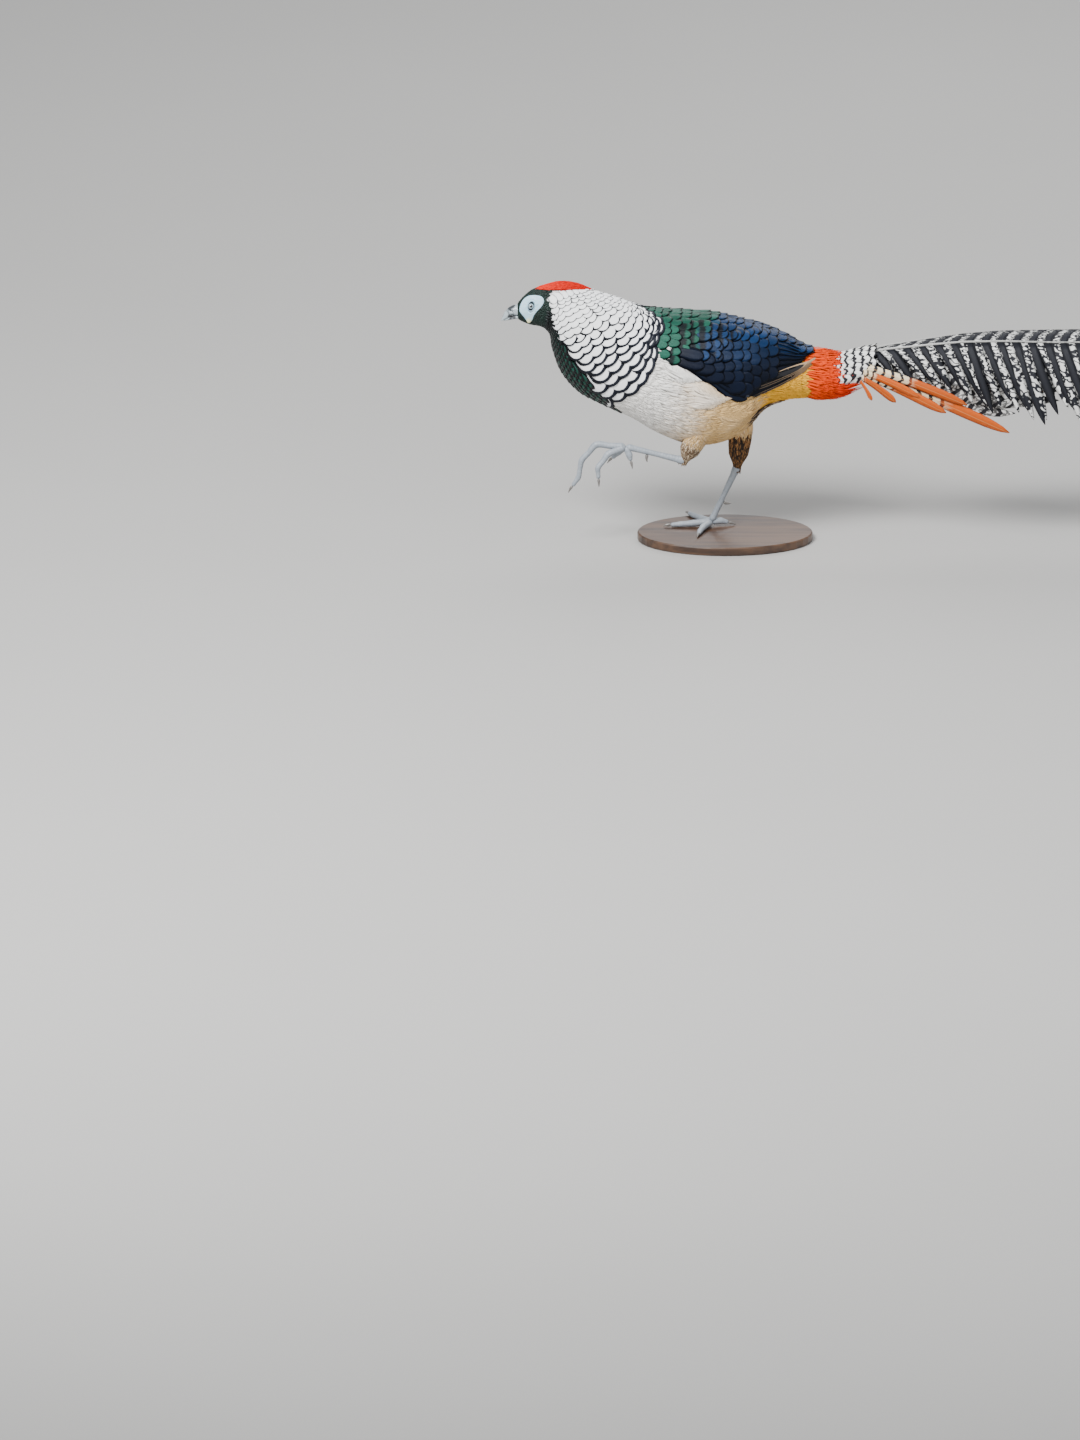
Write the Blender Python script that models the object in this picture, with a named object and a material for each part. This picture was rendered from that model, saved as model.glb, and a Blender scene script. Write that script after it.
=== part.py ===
"""Male Lady Amherst's pheasant, life size, caught in mid stride on a small stand.

The bird faces -X with its left side towards -Y. Its head, neck, back, belly
and rump share one skin, which is a loft through the stations in SKIN. A point
of that skin is named by its station, its angle from the top (positive towards
the bird's left side) and its height over the skin. Feathers are laid in those
terms, so that they follow the body.
"""

import math
import random

import bmesh
import bpy
import numpy as np

# Driving dimensions, in metres and degrees
BASE_LENGTH = 0.240
BASE_WIDTH = 0.160
BASE_HEIGHT = 0.012
BASE_BEVEL = 0.0015
GAP = 0.0004
WING_DEPTH = 0.0070
CAPE_DEPTH = 0.0042
RUMP_DEPTH = 0.0040
VANE_THICKNESS = 0.0015
EYE_RADIUS = 0.0052
LID_THICKNESS = 0.0011
TAIL_THICKNESS = 0.0010
TAIL_TIP_X = 1.000
LEFT, RIGHT = 1, -1
LAY = random.Random(11)  # keeps any two feathers from lying exactly in line

# Upper point x and z, lower point x and z, and half width of each station,
# with z over the top of the stand
SKIN = np.array([
    (-0.2842, 0.3242, -0.2836, 0.3026, 0.0105),  # 0, base of the bill
    (-0.2754, 0.3347, -0.2767, 0.2985, 0.0135),  # 1, lores
    (-0.2631, 0.3445, -0.2657, 0.2944, 0.0162),  # 2, eye
    (-0.2467, 0.3501, -0.2520, 0.2917, 0.0185),  # 3, ear
    (-0.2262, 0.3542, -0.2409, 0.2833, 0.0225),  # 4, nape
    (-0.2032, 0.3511, -0.2365, 0.2607, 0.0310),  # 5, front of the cape
    (-0.1788, 0.3414, -0.2240, 0.2281, 0.0410),  # 6, throat
    (-0.1541, 0.3333, -0.2007, 0.2011, 0.0510),  # 7, crop
    (-0.1307, 0.3245, -0.1679, 0.1833, 0.0590),  # 8, upper breast
    (-0.1085, 0.3179, -0.1271, 0.1642, 0.0645),  # 9, shoulder
    (-0.0837, 0.3162, -0.0944, 0.1444, 0.0680),  # 10, breast
    (-0.0480, 0.3138, -0.0506, 0.1274, 0.0710),  # 11, keel
    (-0.0136, 0.3089, -0.0096, 0.1288, 0.0700),  # 12, belly
    (0.0179, 0.3014, 0.0273, 0.1470, 0.0660),  # 13, loin
    (0.0480, 0.2934, 0.0547, 0.1779, 0.0570),  # 14, vent
    (0.0795, 0.2809, 0.0822, 0.1891, 0.0460),  # 15, rump
    (0.1095, 0.2640, 0.1069, 0.1916, 0.0360),  # 16, wing tips
    (0.1369, 0.2576, 0.1329, 0.1922, 0.0300),  # 17, short tail coverts
    (0.1643, 0.2541, 0.1603, 0.1957, 0.0255),  # 18, root of the tail
])
HEAD_END, NECK_END, TORSO_END, RUMP_END = 3.1, 9.5, 14.0, 18.0  # stations
EYE_AT = (1.9, 77)  # station and angle
LOBE_AT = (1.75, 137)  # station and angle of the lobe under each bare face

# Station, upper edge and lower edge of the folded wing, in degrees
WING_SPAN = np.array([
    (9.9, 44, 60),
    (10.4, 38, 64),
    (11.0, 32, 74),
    (12.0, 24, 84),
    (12.8, 18, 99),
    (13.7, 14, 112),
    (14.6, 11, 102),
    (15.6, 12, 78),
    (16.4, 18, 48),
    (16.8, 26, 34),
])

# Ridge height, drape and half width of the roof-shaped tail along x
TAIL_ROOF = np.array([
    (0.176, 0.2480, 0.014, 0.012),
    (0.220, 0.2640, 0.034, 0.028),
    (0.280, 0.2745, 0.064, 0.041),
    (0.322, 0.2812, 0.082, 0.047),
    (0.377, 0.2860, 0.100, 0.051),
    (0.486, 0.2880, 0.105, 0.054),
    (0.600, 0.2830, 0.098, 0.052),
    (0.750, 0.2640, 0.078, 0.043),
    (0.880, 0.2380, 0.050, 0.030),
    (0.960, 0.2170, 0.024, 0.016),
    (1.000, 0.2060, 0.008, 0.006),
])

# Height and half width of the tail's solid root along x
TAIL_ROOT = np.array([
    (0.1655, 0.0200, 0.0165),
    (0.185, 0.0200, 0.0185),
    (0.205, 0.0185, 0.0190),
    (0.235, 0.0100, 0.0120),
    (0.262, 0.0030, 0.0040),
])
TAIL_STEPS = 24  # notches along the fringed edge of each central feather

# Knee, ankle and foot joint of each leg, and each toe from its first knuckle
STANDING_LEG = ((0.022, 0.020, 0.146), (0.0164, 0.020, 0.0856), (-0.019, 0.020, 0.0075))
STANDING_TOES = (
    ((-0.045, 0.019, 0.0052), (-0.062, 0.018, 0.0040), (-0.075, 0.017, 0.0034)),
    ((-0.033, 0.043, 0.0052), (-0.043, 0.060, 0.0040), (-0.050, 0.073, 0.0034)),
    ((-0.030, 0.001, 0.0052), (-0.034, -0.013, 0.0040), (-0.036, -0.024, 0.0034)),
    ((-0.006, 0.023, 0.0078), (0.005, 0.025, 0.0048)),
)
RAISED_LEG = ((-0.034, -0.035, 0.156), (-0.056, -0.035, 0.111), (-0.136, -0.035, 0.131))
RAISED_TOES = (
    (
        (-0.177, -0.035, 0.133), (-0.196, -0.035, 0.111),
        (-0.201, -0.035, 0.086), (-0.209, -0.035, 0.074),
    ),
    ((-0.160, -0.042, 0.122), (-0.174, -0.046, 0.103), (-0.173, -0.047, 0.088)),
    ((-0.146, -0.028, 0.121), (-0.155, -0.024, 0.111)),
    ((-0.131, -0.037, 0.119), (-0.129, -0.038, 0.111)),
)
CLAW_DIP = np.array([0.0, 0.0, -0.0012])

# Upper half of the bill: share of the length and share of the fall to the tip
BILL_PROFILE = (
    (0.0, 0.0), (0.3, 0.05), (0.55, 0.17), (0.78, 0.42), (0.93, 0.72), (1.0, 0.98),
)
BILL_TIP = np.array([-0.3066, 0.0, 0.2975])


def clear_scene():
    """Remove every object that the empty file came with."""
    for thing in list(bpy.data.objects):
        bpy.data.objects.remove(thing, do_unlink=True)


def finish(name, colour, roughness=0.7, metallic=0.0, coat=0.0):
    """Return a new Principled material of the given look."""
    material = bpy.data.materials.new(name)
    material.use_nodes = True
    shader = material.node_tree.nodes["Principled BSDF"]
    shader.inputs["Base Color"].default_value = (*colour, 1.0)
    shader.inputs["Roughness"].default_value = roughness
    shader.inputs["Metallic"].default_value = metallic
    shader.inputs["Coat Weight"].default_value = coat
    material.diffuse_color = (*colour, 1.0)
    return material


def body(name, points, faces, material=None):
    """Return a mesh object of the points, z counted from the stand's top."""
    mesh = bpy.data.meshes.new(name)
    lifted = [(p[0], p[1], p[2] + BASE_HEIGHT) for p in points]
    mesh.from_pydata(lifted, [], faces)
    work = bmesh.new()
    work.from_mesh(mesh)
    bmesh.ops.triangulate(work, faces=work.faces)
    bmesh.ops.recalc_face_normals(work, faces=work.faces)
    work.to_mesh(mesh)
    work.free()
    thing = bpy.data.objects.new(name, mesh)
    bpy.context.scene.collection.objects.link(thing)
    if material:
        mesh.materials.append(material)
    return thing


def blend(table, at):
    """Return the row of a table at a value of its first column."""
    return [float(np.interp(at, table[:, 0], column)) for column in table.T[1:]]


def station_row(station):
    """Return the skin's five numbers at any station, on a smooth curve."""
    last = len(SKIN) - 1
    station = min(max(station, 0.0), float(last))
    i = min(int(station), last - 1)
    t = station - i
    before, start = SKIN[max(i - 1, 0)], SKIN[i]
    end, after = SKIN[i + 1], SKIN[min(i + 2, last)]
    linear = end - before
    square = 2 * before - 5 * start + 4 * end - after
    cube = 3 * start - before - 3 * end + after
    return 0.5 * (2 * start + linear * t + square * t**2 + cube * t**3)


def skin_point(station, angle, height=0.0):
    """Return the point at a station, an angle in degrees and a height."""
    top_x, top_z, low_x, low_z, wide = station_row(station)
    half = np.array([top_x - low_x, 0.0, top_z - low_z]) / 2
    centre = np.array([top_x + low_x, 0.0, top_z + low_z]) / 2
    tall = float(np.linalg.norm(half))
    upward = half / tall
    cosine, sine = math.cos(math.radians(angle)), math.sin(math.radians(angle))
    out = (tall + height) * cosine
    aside = (wide * (1 - 0.06 * cosine) + height) * sine
    return centre + upward * out + np.array([0.0, -aside, 0.0])


def half_width(station):
    """Return the skin's half width at a station."""
    return float(station_row(station)[4])


def wing_share(station, angle):
    """Return 1 well under a folded wing and 0 away from it."""
    upper, lower = blend(WING_SPAN, station)
    along = min((station - 9.3) / 0.5, (17.2 - station) / 0.35)
    across = min((abs(angle) - upper + 9) / 9, (lower + 9 - abs(angle)) / 9)
    return min(max(min(along, across), 0.0), 1.0)


def core_height(station, angle):
    """Return how high the bare body lies under feathers and wings."""
    under_wing = -WING_DEPTH * wing_share(station, angle)
    under_cape = -0.0030 * min(max((10.7 - station) / 0.6, 0.0), 1.0)
    if station > TORSO_END - 0.01:
        return min(under_wing, -RUMP_DEPTH)
    return min(under_wing, under_cape)


def head_height(station, angle):
    """Return the head's height, which is the same all round."""
    return -0.0008


def neck_height(station, angle):
    """Return the neck's core, low under the cape and high on the bare front."""
    bare = abs(angle) > cape_edge(min(station, 8.0)) + 8
    return -0.0012 if bare else -CAPE_DEPTH


def paint(thing, material):
    """Give a joined body one material."""
    thing.data.materials.clear()
    thing.data.materials.append(material)


def loft(name, rings, material=None):
    """Return a closed body through rings of points, with its ends filled.

    The two halves of a ring are split along opposite diagonals, so that the
    upper and under side of a thin feather have the same triangles.
    """
    count = len(rings[0])
    points = [p for ring in rings for p in ring]
    faces = []
    for i in range(len(rings) - 1):
        for j in range(count):
            k = (j + 1) % count
            a, b = i * count, (i + 1) * count
            if j < count // 2:
                faces += [(a + j, a + k, b + k), (a + j, b + k, b + j)]
            else:
                faces += [(a + j, a + k, b + j), (a + k, b + k, b + j)]
    for first, ring in ((0, rings[0]), (len(points) - count, rings[-1])):
        if count == 4:
            faces.append(tuple(range(first, first + 4)))
            continue
        hub = len(points)
        points.append(np.mean(ring, axis=0))
        faces += [
            (first + j, first + (j + 1) % count, hub) for j in range(count)
        ]
    return body(name, points, faces, material)


def skin_ring(station, height, count, shift=0.0, grow=0.0):
    """Return a ring of the skin, moved along the body by shift."""
    forward = skin_point(station + 0.05, 90) - skin_point(station - 0.05, 90)
    forward[1] = 0.0
    forward /= np.linalg.norm(forward)
    ring = []
    for j in range(count):
        angle = 360.0 * j / count
        if angle > 180:
            angle -= 360
        rise = height(station, angle) + grow
        ring.append(skin_point(station, angle, rise) + forward * shift)
    return ring


def skin_body(name, first, last, steps, height, count=24, grow=0.0, material=None):
    """Return the part of the body between two stations, parted by a gap."""
    rings = []
    for i in range(steps + 1):
        station = first + (last - first) * i / steps
        shift = {0: GAP / 2 - grow, steps: grow - GAP / 2}.get(i, 0.0)
        rings.append(skin_ring(station, height, count, shift, grow))
    return loft(name, rings, material)


def vane(name, start, end, width, rise, shape=(0.55, 1.0, 0.85, 0.22)):
    """Return one feather on the skin as a closed blade with a raised midrib.

    start and end are (station, angle) pairs, rise the heights of root and
    tip, and shape the share of the width at even steps from root to tip.
    """
    rings = []
    last = len(shape) - 1
    turned = LAY.uniform(-0.6, 0.6)
    raised = LAY.uniform(-0.00012, 0.00012)
    for i, share in enumerate(shape):
        t = i / last
        station = start[0] + (end[0] - start[0]) * t
        angle = start[1] + (end[1] - start[1]) * t + turned
        height = rise[0] + (rise[1] - rise[0]) * t + raised
        reach = math.degrees(share * width / 2 / max(half_width(station), 0.02))
        thin = VANE_THICKNESS / 2 * (1 - 0.35 * t)
        rings.append([
            skin_point(station, angle - reach, height - thin * 0.6),
            skin_point(station, angle, height + thin),
            skin_point(station, angle + reach, height - thin * 0.6),
            skin_point(station, angle, height - thin),
        ])
    return loft(name, rings)


def blade(name, spine, sides, widths, thickness=0.0012):
    """Return a feather along a path in space.

    spine holds its points, sides the direction across it at each point, and
    widths its breadth there.
    """
    rings = []
    for point, side, width in zip(spine, sides, widths):
        point, side = np.array(point), np.array(side, float)
        side /= np.linalg.norm(side)
        normal = np.cross(np.array([1.0, 0.0, 0.0]), side)
        normal /= np.linalg.norm(normal)
        rings.append([
            point - side * width / 2,
            point + normal * thickness / 2,
            point + side * width / 2,
            point - normal * thickness / 2,
        ])
    return loft(name, rings)


def tube(name, path, radii, count=8, material=None):
    """Return a round bar through the points of a path."""
    path = [np.array(p, float) for p in path]
    across = np.cross(path[-1] - path[0], np.array([0.3, 1.0, 0.1]))
    rings = []
    for i, (point, radius) in enumerate(zip(path, radii)):
        along = path[min(i + 1, len(path) - 1)] - path[max(i - 1, 0)]
        along /= np.linalg.norm(along)
        across = across - along * np.dot(across, along)
        across /= np.linalg.norm(across)
        other = np.cross(along, across)
        rings.append([
            point
            + across * radius * math.cos(2 * math.pi * j / count)
            + other * radius * math.sin(2 * math.pi * j / count)
            for j in range(count)
        ])
    return loft(name, rings, material)


def ball(name, centre, radii, count=16, material=None):
    """Return an ellipsoid about a centre."""
    rings = []
    for i in range(1, count // 2):
        polar = math.pi * i / (count // 2)
        rings.append([
            (
                centre[0] + radii[0] * math.sin(polar) * math.cos(2 * math.pi * j / count),
                centre[1] + radii[1] * math.sin(polar) * math.sin(2 * math.pi * j / count),
                centre[2] + radii[2] * math.cos(polar),
            )
            for j in range(count)
        ])
    return loft(name, rings, material)


def largest_part(thing):
    """Keep the largest closed surface of a mesh and drop loose crumbs."""
    work = bmesh.new()
    work.from_mesh(thing.data)
    work.verts.ensure_lookup_table()
    seen, groups = set(), []
    for vertex in work.verts:
        if vertex in seen:
            continue
        group, todo = [], [vertex]
        seen.add(vertex)
        while todo:
            here = todo.pop()
            group.append(here)
            for edge in here.link_edges:
                other = edge.other_vert(here)
                if other not in seen:
                    seen.add(other)
                    todo.append(other)
        groups.append(group)
    groups.sort(key=len)
    crumbs = [vertex for group in groups[:-1] for vertex in group]
    bmesh.ops.delete(work, geom=crumbs, context="VERTS")
    work.to_mesh(thing.data)
    work.free()


def combine(thing, others, operation="UNION"):
    """Join bodies to a body, or cut them from it, and remove them."""
    batches = [others] if operation == "UNION" else [[other] for other in others]
    for batch in batches:
        group = bpy.data.collections.new("operands")
        bpy.context.scene.collection.children.link(group)
        for other in batch:
            group.objects.link(other)
        tool = thing.modifiers.new("combine", "BOOLEAN")
        tool.operation = operation
        tool.operand_type = "COLLECTION"
        tool.collection = group
        tool.solver = "MANIFOLD"
        depsgraph = bpy.context.evaluated_depsgraph_get()
        result = bpy.data.meshes.new_from_object(thing.evaluated_get(depsgraph))
        thing.modifiers.clear()
        thing.data = result
        for other in batch:
            bpy.data.objects.remove(other, do_unlink=True)
        bpy.data.collections.remove(group)
    largest_part(thing)
    return thing


def skin_patch(name, stations, span, low, high, count, material=None):
    """Return a closed piece of the skin between two heights.

    span gives the two edges in degrees at a station, and low and high the
    heights of its under and upper side at a station and a share across.
    """
    rings = []
    for station in stations:
        first, last = span(station)
        shares = [j / count for j in range(count + 1)]
        upper = [
            skin_point(station, first + (last - first) * u, high(station, u))
            for u in shares
        ]
        under = [
            skin_point(station, first + (last - first) * u, low(station, u))
            for u in reversed(shares)
        ]
        rings.append(upper + under)
    return loft(name, rings, material)


def closed_tube(name, path, radius, count):
    """Return a round bar that closes on itself."""
    points, faces = [], []
    total = len(path)
    middle = np.mean(path, axis=0)
    for i, point in enumerate(path):
        along = path[(i + 1) % total] - path[i - 1]
        along /= np.linalg.norm(along)
        out = point - middle
        out -= along * np.dot(out, along)
        out /= np.linalg.norm(out)
        normal = np.cross(along, out)
        for j in range(count):
            turn = 2 * math.pi * j / count
            points.append(
                point + radius * (out * math.cos(turn) + normal * math.sin(turn))
            )
    for i in range(total):
        for j in range(count):
            a, b = i * count, ((i + 1) % total) * count
            k = (j + 1) % count
            faces.append((a + j, a + k, b + k))
            faces.append((a + j, b + k, b + j))
    return body(name, points, faces)


def face_edge(station):
    """Return the upper and lower edge of the bare face, in degrees."""
    share = min(max((station - 0.55) / 2.40, 0.0), 1.0)
    bulge = math.sqrt(max(1 - (2 * share - 1) ** 2, 0.0))
    return 92 - 40 * bulge, 98 + 46 * bulge


def face_shapes(side, grow=0.0):
    """Return a bare face's patch, lid ring and lobe, larger by grow."""
    def span(station):
        """Return the two edges of the patch, wider by grow."""
        first, last = face_edge(min(max(station, 0.60), 2.90))
        more = math.degrees(grow / 0.02)
        return (first - more) * side, (last + more) * side

    patch = skin_patch(
        "face",
        [0.60 - grow * 90, 0.98, 1.37, 1.75, 2.13, 2.52, 2.90 + grow * 90],
        span, lambda s, u: -0.0026 - grow, lambda s, u: 0.0004 + grow, 4,
    )
    ring = []
    for i in range(14):
        turn = 2 * math.pi * i / 14
        station = EYE_AT[0] + 0.46 * math.cos(turn)
        angle = (EYE_AT[1] + 15.0 * math.sin(turn)) * side
        ring.append(skin_point(station, angle, 0.0003))
    lids = closed_tube("lids", ring, LID_THICKNESS + grow, 5)
    lobe = ball(
        "lobe", skin_point(LOBE_AT[0], LOBE_AT[1] * side, -0.0006),
        [r + grow for r in (0.0042, 0.0022, 0.0050)], 8,
    )
    return patch, lids, lobe


def build_head(finishes):
    """Build the head with its bare faces, lids and eyes."""
    head = skin_body(
        "head", 0.0, HEAD_END, 7, head_height, 20, material=finishes["cap"]
    )
    for side, word in ((LEFT, "left"), (RIGHT, "right")):
        centre = skin_point(EYE_AT[0], EYE_AT[1] * side, -0.0036)
        ball(f"eye_{word}", centre, [EYE_RADIUS] * 3, 12, finishes["eye"])
        face, lids, lobe = face_shapes(side)
        face.name = f"face_{word}"
        combine(face, [lids, lobe])
        socket = ball("socket", centre, [EYE_RADIUS + GAP] * 3, 12)
        combine(face, [socket], "DIFFERENCE")
        paint(face, finishes["face"])
        socket = ball("socket", centre, [EYE_RADIUS + GAP] * 3, 12)
        combine(head, [*face_shapes(side, 2 * GAP), socket], "DIFFERENCE")
    return head


def bill_ring(x, wide, low_z, top_z):
    """Return an upright oval ring of the bill."""
    middle, tall = (top_z + low_z) / 2, (top_z - low_z) / 2
    turns = [2 * math.pi * j / 12 for j in range(12)]
    return [
        (x, wide * math.sin(turn), middle + tall * math.cos(turn)) for turn in turns
    ]


def build_bill(finishes):
    """Build the two halves of the bill, with a nostril cut on each side."""
    root_top = skin_point(0.0, 0, 0.0)
    root_low = skin_point(0.0, 180, 0.0)
    start = 0.0005
    brow_z = root_top[2] - 0.0012
    rings = []
    for share, drop in BILL_PROFILE:
        x = root_top[0] - start + (BILL_TIP[0] - root_top[0]) * share
        low_z = 0.3088 - 0.0100 * share**2.2
        top_z = max(brow_z - (brow_z - BILL_TIP[2]) * drop, low_z + 0.0012)
        rings.append(bill_ring(x, 0.0078 * (1 - share) ** 0.7 + 0.0008, low_z, top_z))
    upper = loft("bill_upper", rings, finishes["bill"])
    nostrils = [
        ball("nostril", (-0.2905, 0.0072 * side, 0.3150), (0.0022, 0.0022, 0.0009), 8)
        for side in (LEFT, RIGHT)
    ]
    combine(upper, nostrils, "DIFFERENCE")
    rings = []
    for share in (0.0, 0.35, 0.7, 0.92):
        x = root_low[0] - start + (BILL_TIP[0] + 0.0030 - root_low[0]) * share
        low_z = 0.3040 - 0.0068 * share
        top_z = 0.3083 - 0.0100 * share**2.2
        rings.append(bill_ring(x, 0.0070 * (1 - share) ** 0.7 + 0.0006, low_z, top_z))
    loft("bill_lower", rings, finishes["bill"])


def build_crest(finishes):
    """Build the narrow red crest as locks that lie back over the nape."""
    crest = skin_patch(
        "crest", [2.35 + 0.5 * i for i in range(6)],
        lambda s: (-17, 17), lambda s, u: -0.0014, lambda s, u: 0.0006, 4,
    )
    locks = []
    for angle, first, last in (
        (-11, 2.4, 5.2), (0, 2.4, 5.4), (11, 2.4, 5.2), (-6, 3.2, 5.7), (6, 3.2, 5.8),
    ):
        locks.append(
            vane(
                "lock", (first, angle), (last, angle * 0.8), 0.0062,
                (-0.0002, 0.0022), (0.6, 1.0, 0.7, 0.15),
            )
        )
    combine(crest, locks)
    under = skin_body("under", 0.0, HEAD_END, 7, head_height, 20, grow=GAP)
    combine(crest, [under], "DIFFERENCE")
    paint(crest, finishes["crest"])


def cape_edge(station):
    """Return the lower edge of the cape at a root's station, in degrees."""
    return float(np.interp(
        station, (3.0, 3.9, 4.6, 6.0, 7.0, 8.0, 8.4), (62, 96, 106, 112, 120, 120, 112)
    ))


def build_neck(finishes):
    """Build the neck with the cape's tiers of rounded feathers."""
    neck = skin_body("neck", HEAD_END, NECK_END, 11, neck_height, 20)
    spread = random.Random(4)
    vanes = []
    for tier in range(7):
        root = 3.25 + 0.85 * tier
        width = 0.0168 + 0.0027 * tier
        edge = cape_edge(root)
        around = max(half_width(root), 0.024) * math.radians(edge) * 2.15
        count = max(6, round(around / width))
        for i in range(count):
            place = -1 + 2 * (i + 0.5 * (tier % 2)) / (count - 0.5)
            angle = edge * max(-1.0, min(1.0, place)) + spread.uniform(-1.5, 1.5)
            long = 1.75 + spread.uniform(-0.06, 0.06) - 0.1 * abs(angle) / 120
            vanes.append(
                vane(
                    "cape_vane", (root, angle), (root + long, angle * 1.03),
                    0.97 * width, (-CAPE_DEPTH - 0.0010, 0.0006), (0.75, 1.0, 0.4),
                )
            )
    combine(neck, vanes)
    crest_room = skin_patch(
        "crest_room", [2.2 + 0.45 * i for i in range(9)],
        lambda s: (-23, 23), lambda s, u: -0.0020, lambda s, u: 0.0080, 6,
    )
    torso = skin_body("torso_room", NECK_END, TORSO_END, 10, core_height, 24, grow=GAP)
    combine(neck, [crest_room, torso], "DIFFERENCE")
    paint(neck, finishes["cape"])


def build_wing(finishes, side, word):
    """Build one folded wing: a shell, coverts, secondaries and primaries."""
    stations = WING_SPAN[:, 0]

    def span(station):
        """Return the edges of the shell, inside those of the feathers."""
        upper, lower = blend(WING_SPAN, station)
        return (upper + 3) * side, (lower - 3) * side

    wing = skin_patch(
        f"wing_{word}", stations, span,
        lambda s, u: -0.0060,
        lambda s, u: -0.0036 - 0.0012 * abs(2 * u - 1), 4,
    )
    vanes = []

    def place(station, share):
        """Return the angle at a share of the wing's span."""
        upper, lower = blend(WING_SPAN, station)
        return upper + (lower - upper) * share

    def lay(count, first, last, shares, ends, width, rise, shape=(0.7, 1.0, 0.3)):
        """Lay a row of feathers between two sets of roots and tips."""
        for i in range(count):
            u = (i + 0.5) / count
            start = first + (last - first) * u
            stop = ends[0] + (ends[1] - ends[0]) * u
            from_share = shares[0] + (shares[1] - shares[0]) * u
            to_share = shares[2] + (shares[3] - shares[2]) * u
            vanes.append(
                vane(
                    "wing_vane",
                    (start, place(start, from_share) * side),
                    (stop, place(stop, to_share) * side),
                    width, rise, shape,
                )
            )

    flight = (0.7, 1.0, 0.95, 0.3)
    lay(3, 12.3, 12.7, (0.82, 0.98, 0.84, 1.0), (15.9, 14.4), 0.0095, (-0.0047, -0.0032), flight)
    lay(5, 12.2, 12.2, (0.04, 0.84, 0.10, 0.90), (16.7, 14.8), 0.0145, (-0.0046, -0.0012), flight)
    lay(4, 11.3, 11.3, (0.02, 0.98, 0.02, 0.98), (13.9, 13.4), 0.0205, (-0.0046, -0.0002))
    lay(3, 10.6, 10.6, (0.02, 0.98, 0.02, 0.98), (12.4, 12.2), 0.0185, (-0.0046, 0.0004))
    lay(3, 9.9, 9.9, (0.04, 0.96, 0.02, 0.98), (11.3, 11.2), 0.0130, (-0.0046, 0.0006))
    combine(wing, vanes)
    torso = skin_body("torso_room", NECK_END, TORSO_END, 10, core_height, 24, grow=GAP)
    rump = skin_body("rump_room", TORSO_END, RUMP_END, 8, core_height, 20, grow=GAP)
    combine(wing, [torso, rump], "DIFFERENCE")
    paint(wing, finishes["wing"])


def build_rump(finishes):
    """Build the rump with its short yellow and red feathers."""
    rump = skin_body("rump", TORSO_END, RUMP_END, 8, core_height, 20)
    vanes = []
    for tier in range(2):
        root = 14.15 + 1.2 * tier
        lower = blend(WING_SPAN, min(root + 0.5, 16.0))[1] + 16
        lower = max(lower, 70)
        count = max(3, round((180 - lower) / 25))
        for side in (LEFT, RIGHT):
            for i in range(count):
                angle = (lower + (178 - lower) * (i + 0.5) / count) * side
                vanes.append(
                    vane(
                        "yellow_vane", (root, angle), (root + 1.9, angle),
                        0.0190, (-RUMP_DEPTH - 0.0008, 0.0002), (0.7, 1.0, 0.3),
                    )
                )
    for tier in range(2):
        root = 17.08 + 0.35 * tier
        for i in range(9):
            angle = -180 + 360 * (i + 0.5 * (tier % 2)) / 9
            vanes.append(
                vane(
                    "red_vane", (root, angle), (min(root + 1.0, 18.0), angle),
                    0.0150, (-RUMP_DEPTH - 0.0008, 0.0002 + 0.0006 * tier),
                    (0.7, 1.0, 0.25),
                )
            )
    combine(rump, vanes)
    torso = skin_body("torso_room", NECK_END, TORSO_END, 10, core_height, 24, grow=GAP)
    combine(rump, [torso], "DIFFERENCE")
    paint(rump, finishes["rump"])


def roof_strip(name, side, first, last, inset, steps, across, turns):
    """Return a thin feather lying along one half of the tail's roof shape.

    first and last are its ends along x, inset how far it lies under the
    roof, and turns(i) the pair of angles from the ridge that it spans at
    step i.
    """
    rings = []
    thin = TAIL_THICKNESS / 2
    for i in range(steps + 1):
        x = first + (last - first) * i / steps
        ridge, drape, wide = blend(TAIL_ROOF, x)
        inner, outer = turns(i)
        upper, under = [], []
        for j in range(across + 1):
            turn = math.radians(inner + (outer - inner) * j / across)
            for shell, points in ((thin, upper), (-thin, under)):
                aside = max(wide - inset, 0.002) + shell
                above = max(drape - inset, 0.002) + shell
                points.append((
                    x,
                    -side * (0.75 * GAP + aside * math.sin(turn)),
                    ridge - drape + above * math.cos(turn),
                ))
        rings.append(upper + under[::-1])
    return loft(name, rings)


def root_size(x):
    """Return centre height, height and half width of the tail's root."""
    tall, wide = blend(TAIL_ROOT, x)
    return 0.2280 + 0.34 * (x - TAIL_ROOT[0][0]), tall, wide


def half_root(name, side, grow=0.0):
    """Return one half of the tail's solid root, larger by grow."""
    rings = []
    for x in TAIL_ROOT[:, 0]:
        middle, tall, wide = root_size(x)
        rings.append([
            (
                x,
                -side * (GAP / 2 + (wide + grow) * math.sin(math.radians(turn))),
                middle + (tall + grow) * math.cos(math.radians(turn)),
            )
            for turn in range(0, 181, 30)
        ])
    return loft(name, rings)


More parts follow.
